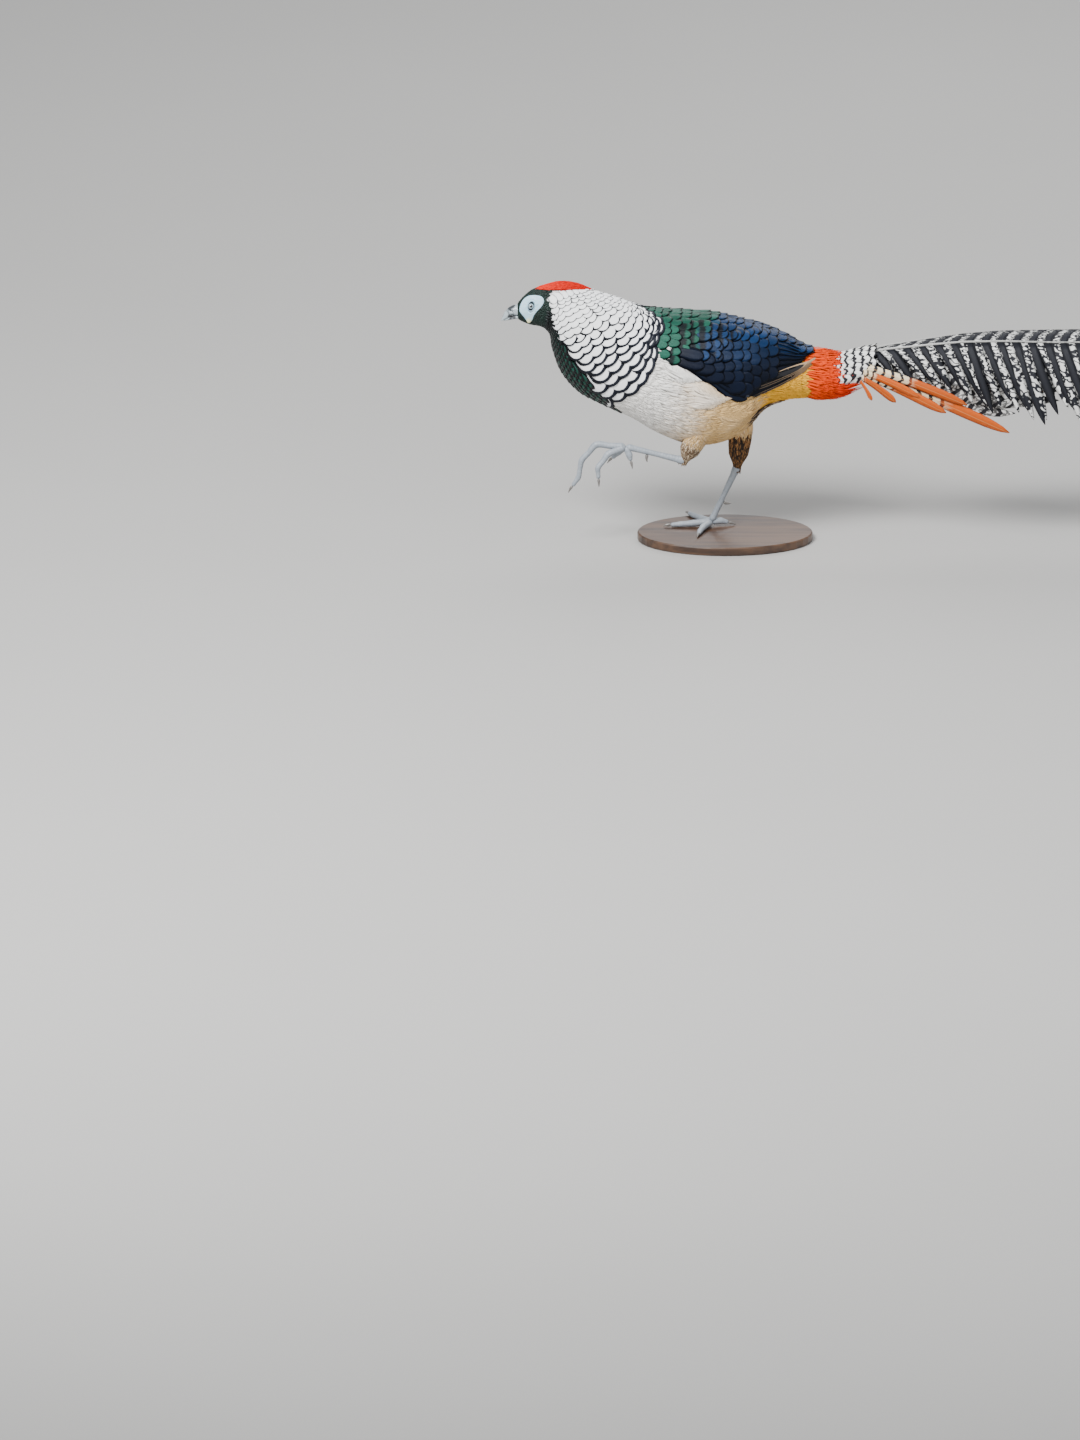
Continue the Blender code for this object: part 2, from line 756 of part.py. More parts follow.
def build_tail(finishes, side, word):
    """Build half the tail: root, vaulted central feather and side feathers."""
    tail = half_root(f"tail_{word}", side)

    def fringe(i):
        """Return the span of the central feather, with a notched lower edge."""
        if 4 <= i <= TAIL_STEPS - 2:
            return 0, 94 if i % 2 else 82
        return 0, 88

    vanes = [roof_strip("central", side, 0.176, TAIL_TIP_X, 0.0, TAIL_STEPS, 5, fringe)]
    for rank, (length, turn) in enumerate(
        ((0.56, 27), (0.43, 42), (0.33, 56), (0.25, 68), (0.19, 80)), 1
    ):
        def spread(i, turn=turn):
            """Return the span of a side feather about its own angle."""
            half = (14, 19, 21, 20, 14, 4)[i]
            return turn - half, turn + half

        vanes.append(
            roof_strip(
                "side_feather", side, 0.177, 0.177 + length, 0.0037 * rank, 5, 2, spread
            )
        )
    combine(tail, vanes)
    paint(tail, finishes["tail"])


def build_coverts(finishes, side, word):
    """Build the long orange-tipped coverts beside the root of the tail."""
    def ring_point(x, angle, rise):
        """Return a point at a height over the tail's root."""
        middle, tall, wide = root_size(x)
        turn = math.radians(angle)
        return np.array([
            x,
            -side * (wide + rise) * math.sin(turn),
            middle + (tall + rise) * math.cos(turn),
        ])

    rings = []
    for x, thick in ((0.1662, 0.0038), (0.176, 0.0036), (0.186, 0.0026)):
        angles = range(50, 131, 16)
        rings.append(
            [ring_point(x, a, 0.0008 + thick) for a in angles]
            + [ring_point(x, a, 0.0008) for a in reversed(angles)]
        )
    coverts = loft(f"coverts_{word}", rings)
    blades = []
    for (tip_x, tip_y, tip_z), angle, width in (
        ((0.1863, 0.046, 0.2014), 122, 0.011),
        ((0.2329, 0.052, 0.2000), 106, 0.012),
        ((0.3014, 0.064, 0.1888), 92, 0.013),
        ((0.3877, 0.072, 0.1630), 78, 0.013),
        ((0.3300, 0.067, 0.2010), 64, 0.012),
    ):
        start = ring_point(0.170, angle, 0.0024)
        knee = ring_point(0.184, angle, 0.0052)
        end = np.array([tip_x, -tip_y * side, tip_z])
        bow = knee + (end - knee) * 0.5 + np.array([0.0, -0.008 * side, 0.005])
        turn = math.radians(angle)
        root_side = np.array([0.0, math.cos(turn) * side, math.sin(turn)])
        end_side = np.array([0.0, -0.35 * side, 1.0])
        spine, sides = [], []
        for t in (0.0, 0.2, 0.5, 0.85, 1.0):
            u = max(0.0, (t - 0.2) / 0.8)
            if t < 0.2:
                spine.append(start + (knee - start) * t / 0.2)
            else:
                spine.append(knee * (1 - u) ** 2 + 2 * bow * u * (1 - u) + end * u**2)
            sides.append(root_side * (1 - u) + end_side * u)
        widths = [width * w for w in (0.5, 0.7, 1.0, 0.8, 0.12)]
        blades.append(blade("long_covert", spine, sides, widths, 0.0014))
    combine(coverts, blades)
    combine(coverts, [half_root("root_room", side, GAP)], "DIFFERENCE")
    paint(coverts, finishes["rump"])


def foot_shapes(foot, toes, grow=0.0):
    """Return the pad and the toes of a foot, thicker by grow."""
    shapes = [ball("foot", foot, [r + grow for r in (0.0078, 0.0072, 0.0060)], 10)]
    for path in toes:
        radii = np.linspace(0.0044, 0.0027, len(path)) + grow
        shapes.append(tube("toe", [foot, *path], [0.0046 + grow, *radii], 8))
    return shapes


def shank_shapes(ankle, foot, grow=0.0):
    """Return the bare shank and its hock, thicker by grow."""
    bone = foot - ankle
    shaft = tube(
        "shank", [ankle, ankle + bone * 0.12, ankle + bone * 0.5, ankle + bone * 0.9, foot],
        [r + grow for r in (0.0052, 0.0046, 0.0036, 0.0043, 0.0050)], 10,
    )
    hock = ball("hock", ankle, [r + grow for r in (0.0062, 0.0055, 0.0062)], 10)
    return [shaft, hock]


def build_leg(finishes, word, joints, toes):
    """Build one leg: feathered shin, bare shank, spur, toes and claws."""
    knee, ankle, foot = (np.array(p) for p in joints)
    toes = [[np.array(p) for p in path] for path in toes]
    shin = knee - ankle
    thigh = tube(
        f"thigh_{word}",
        [ankle + shin * t for t in (0.08, 0.30, 0.62, 1.0)],
        (0.0065, 0.0145, 0.0185, 0.0205), 14, finishes["shin"],
    )
    torso = skin_body("torso_room", NECK_END, TORSO_END, 10, core_height, 24, grow=GAP)
    combine(thigh, [torso, *shank_shapes(ankle, foot, GAP)], "DIFFERENCE")
    shank, hock = shank_shapes(ankle, foot)
    shank.name = f"shank_{word}"
    combine(shank, [hock])
    combine(shank, foot_shapes(foot, toes, GAP), "DIFFERENCE")
    paint(shank, finishes["scale"])
    pad, *digits = foot_shapes(foot, toes)
    pad.name = f"foot_{word}"
    combine(pad, digits)
    paint(pad, finishes["scale"])
    for number, path in enumerate(toes, 1):
        along = path[-1] - path[-2]
        along /= np.linalg.norm(along)
        start = path[-1] + along * GAP
        tube(
            f"claw_{word}_{number}",
            [start, start + along * 0.0045, start + along * 0.0095 + CLAW_DIP],
            (0.0022, 0.0017, 0.0004), 6, finishes["claw"],
        )
    bone = foot - ankle
    behind = np.array([-bone[2], 0.0, bone[0]])
    behind /= np.linalg.norm(behind)
    root = ankle + bone * 0.62 + behind * (0.0041 + GAP)
    tube(
        f"spur_{word}",
        [root, root + behind * 0.005, root + behind * 0.010 - bone * 0.03],
        (0.0026, 0.0018, 0.0005), 6, finishes["claw"],
    )


def build_stand(finishes):
    """Build the oval stand under the standing foot."""
    rings = []
    for height, inset in (
        (-BASE_HEIGHT, BASE_BEVEL), (BASE_BEVEL - BASE_HEIGHT, 0.0),
        (-BASE_BEVEL, 0.0), (0.0, BASE_BEVEL),
    ):
        rings.append([
            (
                (BASE_LENGTH / 2 - inset) * math.cos(2 * math.pi * j / 40),
                (BASE_WIDTH / 2 - inset) * math.sin(2 * math.pi * j / 40),
                height,
            )
            for j in range(40)
        ])
    loft("stand_base", rings, finishes["stand"])


def main():
    """Build the whole bird and its stand."""
    clear_scene()
    finishes = {
        "cap": finish("dark_cap_feathers", (0.010, 0.030, 0.022), 0.45),
        "face": finish("bare_face_skin", (0.62, 0.74, 0.80), 0.55),
        "eye": finish("pale_eye", (0.55, 0.62, 0.62), 0.12, coat=0.8),
        "bill": finish("pale_horn_bill", (0.34, 0.38, 0.40), 0.40),
        "crest": finish("red_crest_feathers", (0.75, 0.030, 0.010), 0.55),
        "cape": finish("white_cape_feathers", (0.78, 0.80, 0.80), 0.60),
        "belly": finish("pale_belly_feathers", (0.76, 0.70, 0.60), 0.75),
        "wing": finish("blue_wing_feathers", (0.010, 0.035, 0.110), 0.40, 0.2),
        "rump": finish("orange_rump_feathers", (0.75, 0.140, 0.015), 0.60),
        "tail": finish("barred_tail_feathers", (0.50, 0.50, 0.48), 0.55),
        "shin": finish("brown_shin_feathers", (0.110, 0.055, 0.030), 0.80),
        "scale": finish("grey_leg_scales", (0.28, 0.33, 0.37), 0.50),
        "claw": finish("dark_claw_horn", (0.10, 0.09, 0.08), 0.45),
        "stand": finish("dark_stand_wood", (0.090, 0.050, 0.030), 0.50),
    }
    build_stand(finishes)
    build_head(finishes)
    build_bill(finishes)
    build_crest(finishes)
    build_neck(finishes)
    skin_body(
        "torso", NECK_END, TORSO_END, 10, core_height, 24, material=finishes["belly"]
    )
    build_wing(finishes, LEFT, "left")
    build_wing(finishes, RIGHT, "right")
    build_rump(finishes)
    build_tail(finishes, LEFT, "left")
    build_tail(finishes, RIGHT, "right")
    build_coverts(finishes, LEFT, "left")
    build_coverts(finishes, RIGHT, "right")
    build_leg(finishes, "left", RAISED_LEG, RAISED_TOES)
    build_leg(finishes, "right", STANDING_LEG, STANDING_TOES)


if __name__ == "__main__":
    main()
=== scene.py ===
"""Scene of a life-size male Lady Amherst's pheasant in mid stride.

The bird faces -X with its left side towards -Y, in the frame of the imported
solids. A place on its body is given by a station along it, an angle from the
top in degrees (positive towards the bird's left) and a height over the skin,
so that every feather follows the body.
"""

import logging
import math
from dataclasses import dataclass, replace
from enum import Enum
from typing import Callable, NamedTuple, Sequence

import bmesh
import bpy
import numpy as np
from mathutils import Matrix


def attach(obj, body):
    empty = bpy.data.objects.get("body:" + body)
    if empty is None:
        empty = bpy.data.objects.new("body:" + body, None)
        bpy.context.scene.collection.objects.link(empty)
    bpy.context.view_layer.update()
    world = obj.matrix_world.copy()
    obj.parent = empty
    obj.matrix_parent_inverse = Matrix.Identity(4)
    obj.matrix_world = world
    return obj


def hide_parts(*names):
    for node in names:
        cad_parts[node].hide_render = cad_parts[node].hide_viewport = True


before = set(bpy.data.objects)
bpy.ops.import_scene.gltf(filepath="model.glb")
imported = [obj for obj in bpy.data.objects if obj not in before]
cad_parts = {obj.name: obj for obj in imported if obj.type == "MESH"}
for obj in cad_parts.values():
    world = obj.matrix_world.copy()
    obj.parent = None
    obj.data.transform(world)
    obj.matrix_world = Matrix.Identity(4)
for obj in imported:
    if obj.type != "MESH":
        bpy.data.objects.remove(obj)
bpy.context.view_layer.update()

Array = np.ndarray
Material = bpy.types.Material
Socket = bpy.types.NodeSocket
Triple = tuple[float, float, float]
Outline = Sequence[tuple[float, float]]
Measure = float | Callable[[float, float], float]
log = logging.getLogger("pheasant")

STAND_TOP = 0.012
LIFT = np.array([0.0, 0.0, STAND_TOP])

# Upper point x and z, lower point x and z, and half width at each station,
# with z over the top of the stand
SKIN = np.array([
    (-0.2842, 0.3242, -0.2836, 0.3026, 0.0105),  # 0, base of the bill
    (-0.2754, 0.3347, -0.2767, 0.2985, 0.0135),  # 1, lores
    (-0.2631, 0.3445, -0.2657, 0.2944, 0.0162),  # 2, eye
    (-0.2467, 0.3501, -0.2520, 0.2917, 0.0185),  # 3, ear
    (-0.2262, 0.3542, -0.2409, 0.2833, 0.0225),  # 4, nape
    (-0.2032, 0.3511, -0.2365, 0.2607, 0.0310),  # 5, front of the cape
    (-0.1788, 0.3414, -0.2240, 0.2281, 0.0410),  # 6, throat
    (-0.1541, 0.3333, -0.2007, 0.2011, 0.0510),  # 7, crop
    (-0.1307, 0.3245, -0.1679, 0.1833, 0.0590),  # 8, upper breast
    (-0.1085, 0.3179, -0.1271, 0.1642, 0.0645),  # 9, shoulder
    (-0.0837, 0.3162, -0.0944, 0.1444, 0.0680),  # 10, breast
    (-0.0480, 0.3138, -0.0506, 0.1274, 0.0710),  # 11, keel
    (-0.0136, 0.3089, -0.0096, 0.1288, 0.0700),  # 12, belly
    (0.0179, 0.3014, 0.0273, 0.1470, 0.0660),  # 13, loin
    (0.0480, 0.2934, 0.0547, 0.1779, 0.0570),  # 14, vent
    (0.0795, 0.2809, 0.0822, 0.1891, 0.0460),  # 15, rump
    (0.1095, 0.2640, 0.1069, 0.1916, 0.0360),  # 16, wing tips
    (0.1369, 0.2576, 0.1329, 0.1922, 0.0300),  # 17, short tail coverts
    (0.1643, 0.2541, 0.1603, 0.1957, 0.0255),  # 18, root of the tail
    (0.2080, 0.2640, 0.2040, 0.2180, 0.0225),  # 19, coverts over the tail
])
SKIN_END = 18.0
MAP_STATIONS = 20.0

# Station, upper edge and lower edge of the folded wing, in degrees
WING_SPAN = np.array([
    (9.9, 44, 60), (10.4, 38, 64), (11.0, 32, 74), (12.0, 24, 84), (12.8, 18, 99),
    (13.7, 14, 112), (14.6, 11, 102), (15.6, 12, 78), (16.4, 18, 48), (16.8, 26, 34),
])

# Station of the rows of the cape at these angles, from the rear edge forward,
# and how many rows lie between the listed ones
CAPE_TURNS = (0, 22, 37, 50, 66, 78, 96, 117, 140)
CAPE_ROWS = np.array([
    (8.87, 9.94, 10.08, 9.84, 9.84, 9.72, 9.30, 8.80, 8.35),
    (8.60, 9.35, 9.55, 9.41, 8.85, 8.40, 8.00, 7.55, 7.10),
    (7.70, 7.37, 6.95, 6.55, 6.25, 6.00, 5.65, 5.20, 4.70),
    (5.60, 5.30, 4.85, 4.40, 3.90, 3.40, 3.10, 2.80, 2.50),
])
CAPE_COUNTS = (0.0, 3.3, 10.0, 18.0)

# Outline of the bare face as stations and angles, round the eye
FACE_EDGE = np.array([
    (0.36, 72), (0.50, 45), (0.88, 26), (1.35, 27), (1.90, 36), (2.40, 44), (2.88, 52),
    (3.12, 66), (2.96, 80), (2.52, 95), (2.20, 110), (2.08, 131), (1.72, 144), (1.32, 129),
    (0.75, 103), (0.42, 87),
])
EYE_AT = (1.9, 77.0)
HEAD_STATION, HEAD_DEGREE = 0.0146, 0.000297

# Half width of the red crest in degrees at each station
CREST_SPAN = ((1.9, 6), (2.5, 16), (3.0, 29), (3.4, 36), (4.2, 36), (5.1, 21), (5.7, 6))

# Ridge height, drape and half width of the roof-shaped tail along x
TAIL_ROOF = np.array([
    (0.176, 0.2530, 0.016, 0.013), (0.220, 0.2640, 0.034, 0.028),
    (0.280, 0.2745, 0.064, 0.041), (0.322, 0.2812, 0.082, 0.047),
    (0.377, 0.2860, 0.100, 0.051), (0.486, 0.2880, 0.105, 0.054),
    (0.600, 0.2830, 0.098, 0.052), (0.750, 0.2640, 0.078, 0.043),
    (0.880, 0.2380, 0.050, 0.030), (0.960, 0.2170, 0.024, 0.016),
    (1.000, 0.2060, 0.008, 0.006),
])

# Share of a feather's width at shares of its length, from root to tip
ROUND: Outline = (
    (0, 0.5), (0.3, 0.85), (0.55, 1.0), (0.74, 0.97), (0.88, 0.76), (0.96, 0.45), (1, 0.12),
)
OVAL: Outline = ((0, 0.6), (0.45, 1.0), (0.78, 0.86), (0.93, 0.5), (1, 0.1))
LANCE: Outline = ((0, 0.5), (0.35, 0.95), (0.7, 0.8), (1, 0.06))
HAIR: Outline = ((0, 0.8), (0.5, 1.0), (0.8, 0.62), (1, 0.06))
BROAD: Outline = (
    (0, 0.4), (0.35, 0.85), (0.6, 1.0), (0.78, 0.98), (0.89, 0.84), (0.96, 0.58), (1, 0.24),
)
SHIN_TUFT: Outline = ((0, 0.7), (0.4, 1.0), (0.75, 0.7), (1, 0.08))
FLIGHT: Outline = (
    (0, 0.5), (0.15, 0.8), (0.35, 0.97), (0.55, 1.0), (0.72, 0.97), (0.85, 0.85),
    (0.93, 0.62), (0.98, 0.35), (1, 0.1),
)
BARB_CLUMP: Outline = (
    (0, 1.0), (0.15, 1.0), (0.3, 1.0), (0.45, 1.0), (0.6, 0.98), (0.72, 0.90),
    (0.82, 0.74), (0.9, 0.52), (0.96, 0.28), (1, 0.05),
)
COVERT_BLADE: Outline = (
    (0, 0.45), (0.1, 0.55), (0.25, 0.68), (0.45, 0.80), (0.6, 0.90), (0.75, 1.0),
    (0.86, 0.96), (0.93, 0.76), (0.97, 0.50), (1, 0.10),
)

# Side of a tuft's patch on its OFBake map
BAKE_PATCH = 0.003

# Knee, ankle and foot of each leg over the top of the stand, then the joints
# of its toes from the inner front one to the hind toe
STANDING = (
    ((0.022, 0.020, 0.146), (0.0164, 0.020, 0.0856), (-0.019, 0.020, 0.0075)),
    (
        ((-0.045, 0.019, 0.0052), (-0.062, 0.018, 0.0040), (-0.075, 0.017, 0.0034)),
        ((-0.033, 0.043, 0.0052), (-0.043, 0.060, 0.0040), (-0.050, 0.073, 0.0034)),
        ((-0.030, 0.001, 0.0052), (-0.034, -0.013, 0.0040), (-0.036, -0.024, 0.0034)),
        ((-0.006, 0.023, 0.0078), (0.005, 0.025, 0.0048)),
    ),
)
RAISED = (
    ((-0.034, -0.035, 0.156), (-0.056, -0.035, 0.111), (-0.136, -0.035, 0.131)),
    (
        ((-0.177, -0.035, 0.133), (-0.196, -0.035, 0.111), (-0.201, -0.035, 0.086),
         (-0.209, -0.035, 0.074)),
        ((-0.160, -0.042, 0.122), (-0.174, -0.046, 0.103), (-0.173, -0.047, 0.088)),
        ((-0.146, -0.028, 0.121), (-0.155, -0.024, 0.111)),
        ((-0.131, -0.037, 0.119), (-0.129, -0.038, 0.111)),
    ),
)


class Side(Enum):
    """The two sides of the bird."""

    LEFT = 1
    RIGHT = -1

    def __str__(self) -> str:
        """Return the side's name in lower case."""
        return self.name.lower()


class BakePlan(Enum):
    """How the feathers of a piece are spread on its OFBake map."""

    ROOTS = "small patches at their roots"
    CELLS = "one cell each, in the order of their places"


# Shader maths


def operator(operation: str, swapped: bool = False) -> Callable[..., "Value"]:
    """Return a method of Value that adds a Math node.

    Args:
        operation: The node's operation.
        swapped: Whether the other term comes first, as in 1.0 - value.

    Returns:
        The method.
    """
    def method(value: "Value", *other: "Number") -> "Value":
        """Return the result of the operation."""
        terms = (*other, value) if swapped else (value, *other)
        return value.kit.maths(operation, *terms)

    return method


class Value:
    """A number socket of a shader that takes part in Python sums."""

    __add__ = operator("ADD")
    __sub__ = operator("SUBTRACT")
    __mul__ = operator("MULTIPLY")
    __truediv__ = operator("DIVIDE")
    __abs__ = operator("ABSOLUTE")
    __radd__ = operator("ADD", swapped=True)
    __rsub__ = operator("SUBTRACT", swapped=True)
    __rmul__ = operator("MULTIPLY", swapped=True)
    __rtruediv__ = operator("DIVIDE", swapped=True)

    def __init__(self, kit: "Kit", socket: Socket) -> None:
        self.kit = kit
        self.socket = socket


Number = Value | float
Colour = Socket | Triple


class Kit:
    """The node tree of one material, and the ways to add to it."""

    def __init__(self, name: str) -> None:
        """Start a material with one Principled shader."""
        self.material = bpy.data.materials.new(name)
        self.material.use_nodes = True
        self.tree = self.material.node_tree
        self.shader = self.tree.nodes["Principled BSDF"]

    def plug(self, socket: Socket, value: Number | Colour) -> None:
        """Link a socket to another, or give it a number or a colour."""
        if isinstance(value, Value):
            value = value.socket
        if isinstance(value, Socket):
            self.tree.links.new(value, socket)
        elif isinstance(value, tuple) and socket.type == "RGBA":
            socket.default_value = (*value, 1.0)
        else:
            socket.default_value = value

    def node(self, kind: str, settings: dict, values: dict) -> bpy.types.Node:
        """Add a node.

        Args:
            kind: The node's Blender type.
            settings: Properties to set first.
            values: Numbers, colours or links of its sockets.

        Returns:
            The new node.
        """
        made = self.tree.nodes.new(kind)
        for name, value in settings.items():
            setattr(made, name, value)
        for key, value in values.items():
            self.plug(made.inputs[key], value)
        return made

    def maths(self, operation: str, *terms: Number) -> Value:
        """Return the result of a Math node on one to three terms."""
        values = dict(enumerate(terms))
        made = self.node("ShaderNodeMath", {"operation": operation}, values)
        return Value(self, made.outputs[0])

    def vectors(self, operation: str, *terms: Socket | Triple) -> bpy.types.Node:
        """Return a Vector Math node on one or two terms."""
        values = dict(enumerate(terms))
        return self.node("ShaderNodeVectorMath", {"operation": operation}, values)

    def smooth(self, value: Number, low: float, high: float) -> Value:
        """Return 0 below low and 1 above high, with a soft step between."""
        made = self.node(
            "ShaderNodeMapRange", {"interpolation_type": "SMOOTHSTEP"},
            {"Value": value, "From Min": low, "From Max": high},
        )
        return Value(self, made.outputs[0])

    def place(self, scale: Triple = (1.0, 1.0, 1.0)) -> Socket:
        """Return object coordinates, stretched by a Mapping node."""
        source = self.node("ShaderNodeTexCoord", {}, {})
        made = self.node(
            "ShaderNodeMapping", {}, {"Vector": source.outputs["Object"], "Scale": scale}
        )
        return made.outputs[0]

    def map(self, name: str) -> tuple[Value, Value]:
        """Return the two parts of a UV map."""
        source = self.node("ShaderNodeUVMap", {"uv_map": name}, {})
        made = self.node("ShaderNodeSeparateXYZ", {}, {"Vector": source.outputs[0]})
        return Value(self, made.outputs[0]), Value(self, made.outputs[1])

    def feather(self) -> tuple[Value, Value, Value, Value, Value]:
        """Return a feather's length, width, chance, mark and distance from its shaft."""
        along, across = self.map("vane")
        return along, across, *self.map("quill"), abs(across * 2.0 - 1.0)

    def join(self, x: Number, y: Number, z: Number = 0.0) -> Socket:
        """Return a vector of three numbers."""
        return self.node("ShaderNodeCombineXYZ", {}, {0: x, 1: y, 2: z}).outputs[0]

    def noise(self, vector: Socket, scale: float, detail: float = 3.0) -> Value:
        """Return a noise value around one half."""
        made = self.node(
            "ShaderNodeTexNoise", {}, {"Vector": vector, "Scale": scale, "Detail": detail}
        )
        return Value(self, made.outputs[0])

    def mix(self, share: Number, first: Colour, second: Colour) -> Socket:
        """Return a colour between two others."""
        made = self.node(
            "ShaderNodeMix", {"data_type": "RGBA", "clamp_factor": True},
            {0: share, 6: first, 7: second},
        )
        return made.outputs[2]

    def tint(self, colour: Colour, share: Number) -> Socket:
        """Return a colour made darker or lighter by a factor."""
        grey = self.join(share, share, share)
        made = self.node(
            "ShaderNodeMix", {"data_type": "RGBA", "blend_type": "MULTIPLY"},
            {0: 1.0, 6: colour, 7: grey},
        )
        return made.outputs[2]

    def wave(self, value: Value, period: float) -> Value:
        """Return a sine wave of a value, from 0 to 1."""
        return self.maths("SINE", value * (2 * math.pi / period)) * 0.5 + 0.5

    def worley(self, vector: Socket, scale: float) -> Value:
        """Return the distance to the nearest of many scattered points."""
        made = self.node("ShaderNodeTexVoronoi", {}, {"Vector": vector, "Scale": scale})
        return Value(self, made.outputs["Distance"])

    def bump(self, height: Value, distance: float, strength: float) -> None:
        """Raise the surface by a height field of the given depth in metres."""
        made = self.node(
            "ShaderNodeBump", {},
            {"Height": height, "Distance": distance, "Strength": strength},
        )
        self.plug(self.shader.inputs["Normal"], made.outputs[0])

    def dress(self, colour: Colour, roughness: float, **others: float) -> Material:
        """Give the shader its colour, its roughness and the other sockets named.

        Args:
            colour: The base colour.
            roughness: The roughness.
            others: Values of other sockets, with _ for a space in their names.

        Returns:
            The material.
        """
        self.plug(self.shader.inputs["Base Color"], colour)
        self.plug(self.shader.inputs["Roughness"], roughness)
        for name, value in others.items():
            self.plug(self.shader.inputs[name.replace("_", " ")], value)
        return self.material


# Finishes


@dataclass(frozen=True)
class FeatherFinish:
    """The look of one tract of feathers.

    A feather's colour runs from near to far with its mark, and rim is the
    colour of its border, whose width is a share of the feather's own.
    """

    name: str
    near: Triple
    far: Triple
    rim: Triple
    rim_width: tuple[float, float] = (0.0, 0.0)
    turn: tuple[float, float] = (0.0, 1.0)
    lively: float = 0.25
    barbs: float = 0.2
    shaft: float = 0.0
    roughness: float = 0.6
    metallic: float = 0.0
    sheen: float = 0.0
    root_shade: float = 0.0
    rim_noise: float = 0.06
    gloss: float = 0.35
    cloud: float = 0.0
    band: float = 0.0

    def make(self) -> Material:
        """Return the material."""
        kit = Kit(self.name)
        along, across, chance, mark, aside = kit.feather()
        turned = kit.smooth(mark, *self.turn)
        colour = kit.mix(turned, self.near, self.far)
        grain = kit.noise(kit.join(along * 6.0, across * 40.0, chance * 9.0), 1.0)
        shade = 1.0 - self.lively * 0.5 + self.lively * chance + (grain - 0.5) * self.lively
        if self.root_shade:
            shade = shade * (1.0 - self.root_shade * (1.0 - kit.smooth(along, 0.1, 0.75)))
        if self.cloud:
            broad = kit.noise(kit.place((1.0, 1.0, 2.2)), 26.0)
            shade = shade * (1.0 + self.cloud * (broad - 0.5))
        colour = kit.tint(colour, shade)
        if self.band:
            ragged = along + (grain - 0.5) * 0.25 + (chance - 0.5) * 0.12
            dark = kit.smooth(ragged, 0.50, 0.56) * (1.0 - kit.smooth(ragged, 0.74, 0.80))
            colour = kit.mix(dark * self.band, colour, self.rim)
        if self.shaft:
            line = (1.0 - kit.smooth(aside, 0.02, 0.07)) * self.shaft
            colour = kit.mix(line, colour, self.rim)
        if max(self.rim_width):
            distal = kit.maths("MAXIMUM", (along - 0.52) / 0.48, 0.0)
            reach = kit.maths("SQRT", distal * distal + aside * aside)
            reach = reach + (grain - 0.5) * self.rim_noise
            width = self.rim_width[0] + (self.rim_width[1] - self.rim_width[0]) * turned
            edge = kit.smooth(reach + width, 0.97, 1.03)
            colour = kit.mix(edge, colour, self.rim)
        comb = kit.wave(along + aside * 0.45, 0.024) * 0.5
        kit.bump(comb + (1.0 - aside) * 0.8 + grain, 0.0005, self.barbs)
        return kit.dress(
            colour, self.roughness, Metallic=self.metallic, Sheen_Weight=self.sheen,
            Specular_IOR_Level=self.gloss,
        )


BELLY_LOOK = FeatherFinish(
    "pale_belly_feathers", (0.90, 0.88, 0.84), (0.60, 0.385, 0.155), (0.55, 0.38, 0.22),
    lively=0.05, roughness=0.85, sheen=0.15, barbs=0.12, turn=(0.06, 0.88), gloss=0.15,
    cloud=0.45,
)


@dataclass(frozen=True)
class BarredFinish:
    """White feathers with black bars and broken wavy lines between them."""

    name: str
    period: float
    black: float
    slant: float
    white: Triple = (0.80, 0.80, 0.78)
    dark: Triple = (0.012, 0.012, 0.016)
    maze: float = 0.8
    tip: Triple | None = None

    def make(self) -> Material:
        """Return the material."""
        kit = Kit(self.name)
        along, across, chance, mark, aside = kit.feather()
        wobble = kit.noise(kit.join(along * 9.0, across * 4.0, chance * 7.0), 1.0, 2.0) - 0.5
        course = along / self.period + aside * self.slant + wobble * 0.5
        share = kit.maths("FRACT", course)
        near_bar = abs(share - 0.5) * 2.0
        bar = kit.smooth(near_bar, 1.0 - self.black - 0.05, 1.0 - self.black + 0.08)
        fine = kit.noise(
            kit.join(along * 3.0 / self.period, across * 5.0, chance * 11.0), 1.0, 1.0
        )
        broken = 1.0 - kit.smooth(abs(fine - 0.5), 0.055, 0.085)
        bar = kit.maths("MAXIMUM", bar, broken * self.maze)
        colour = kit.mix(bar, self.white, self.dark)
        if self.tip:
            burnt = kit.smooth(along + wobble * 0.12 - mark, -0.05, 0.05)
            glow = kit.tint(self.tip, 0.80 + chance * 0.25 + (fine - 0.5) * 0.3)
            colour = kit.mix(burnt, colour, glow)
            line = (1.0 - kit.smooth(aside, 0.03, 0.09)) * 0.42
            colour = kit.mix(line, colour, (0.62, 0.34, 0.14))
        comb = kit.wave(along + aside * 0.10, 0.006)
        kit.bump(comb + (1.0 - aside) * 0.8, 0.0004, 0.4)
        return kit.dress(colour, 0.6, Specular_IOR_Level=0.3)


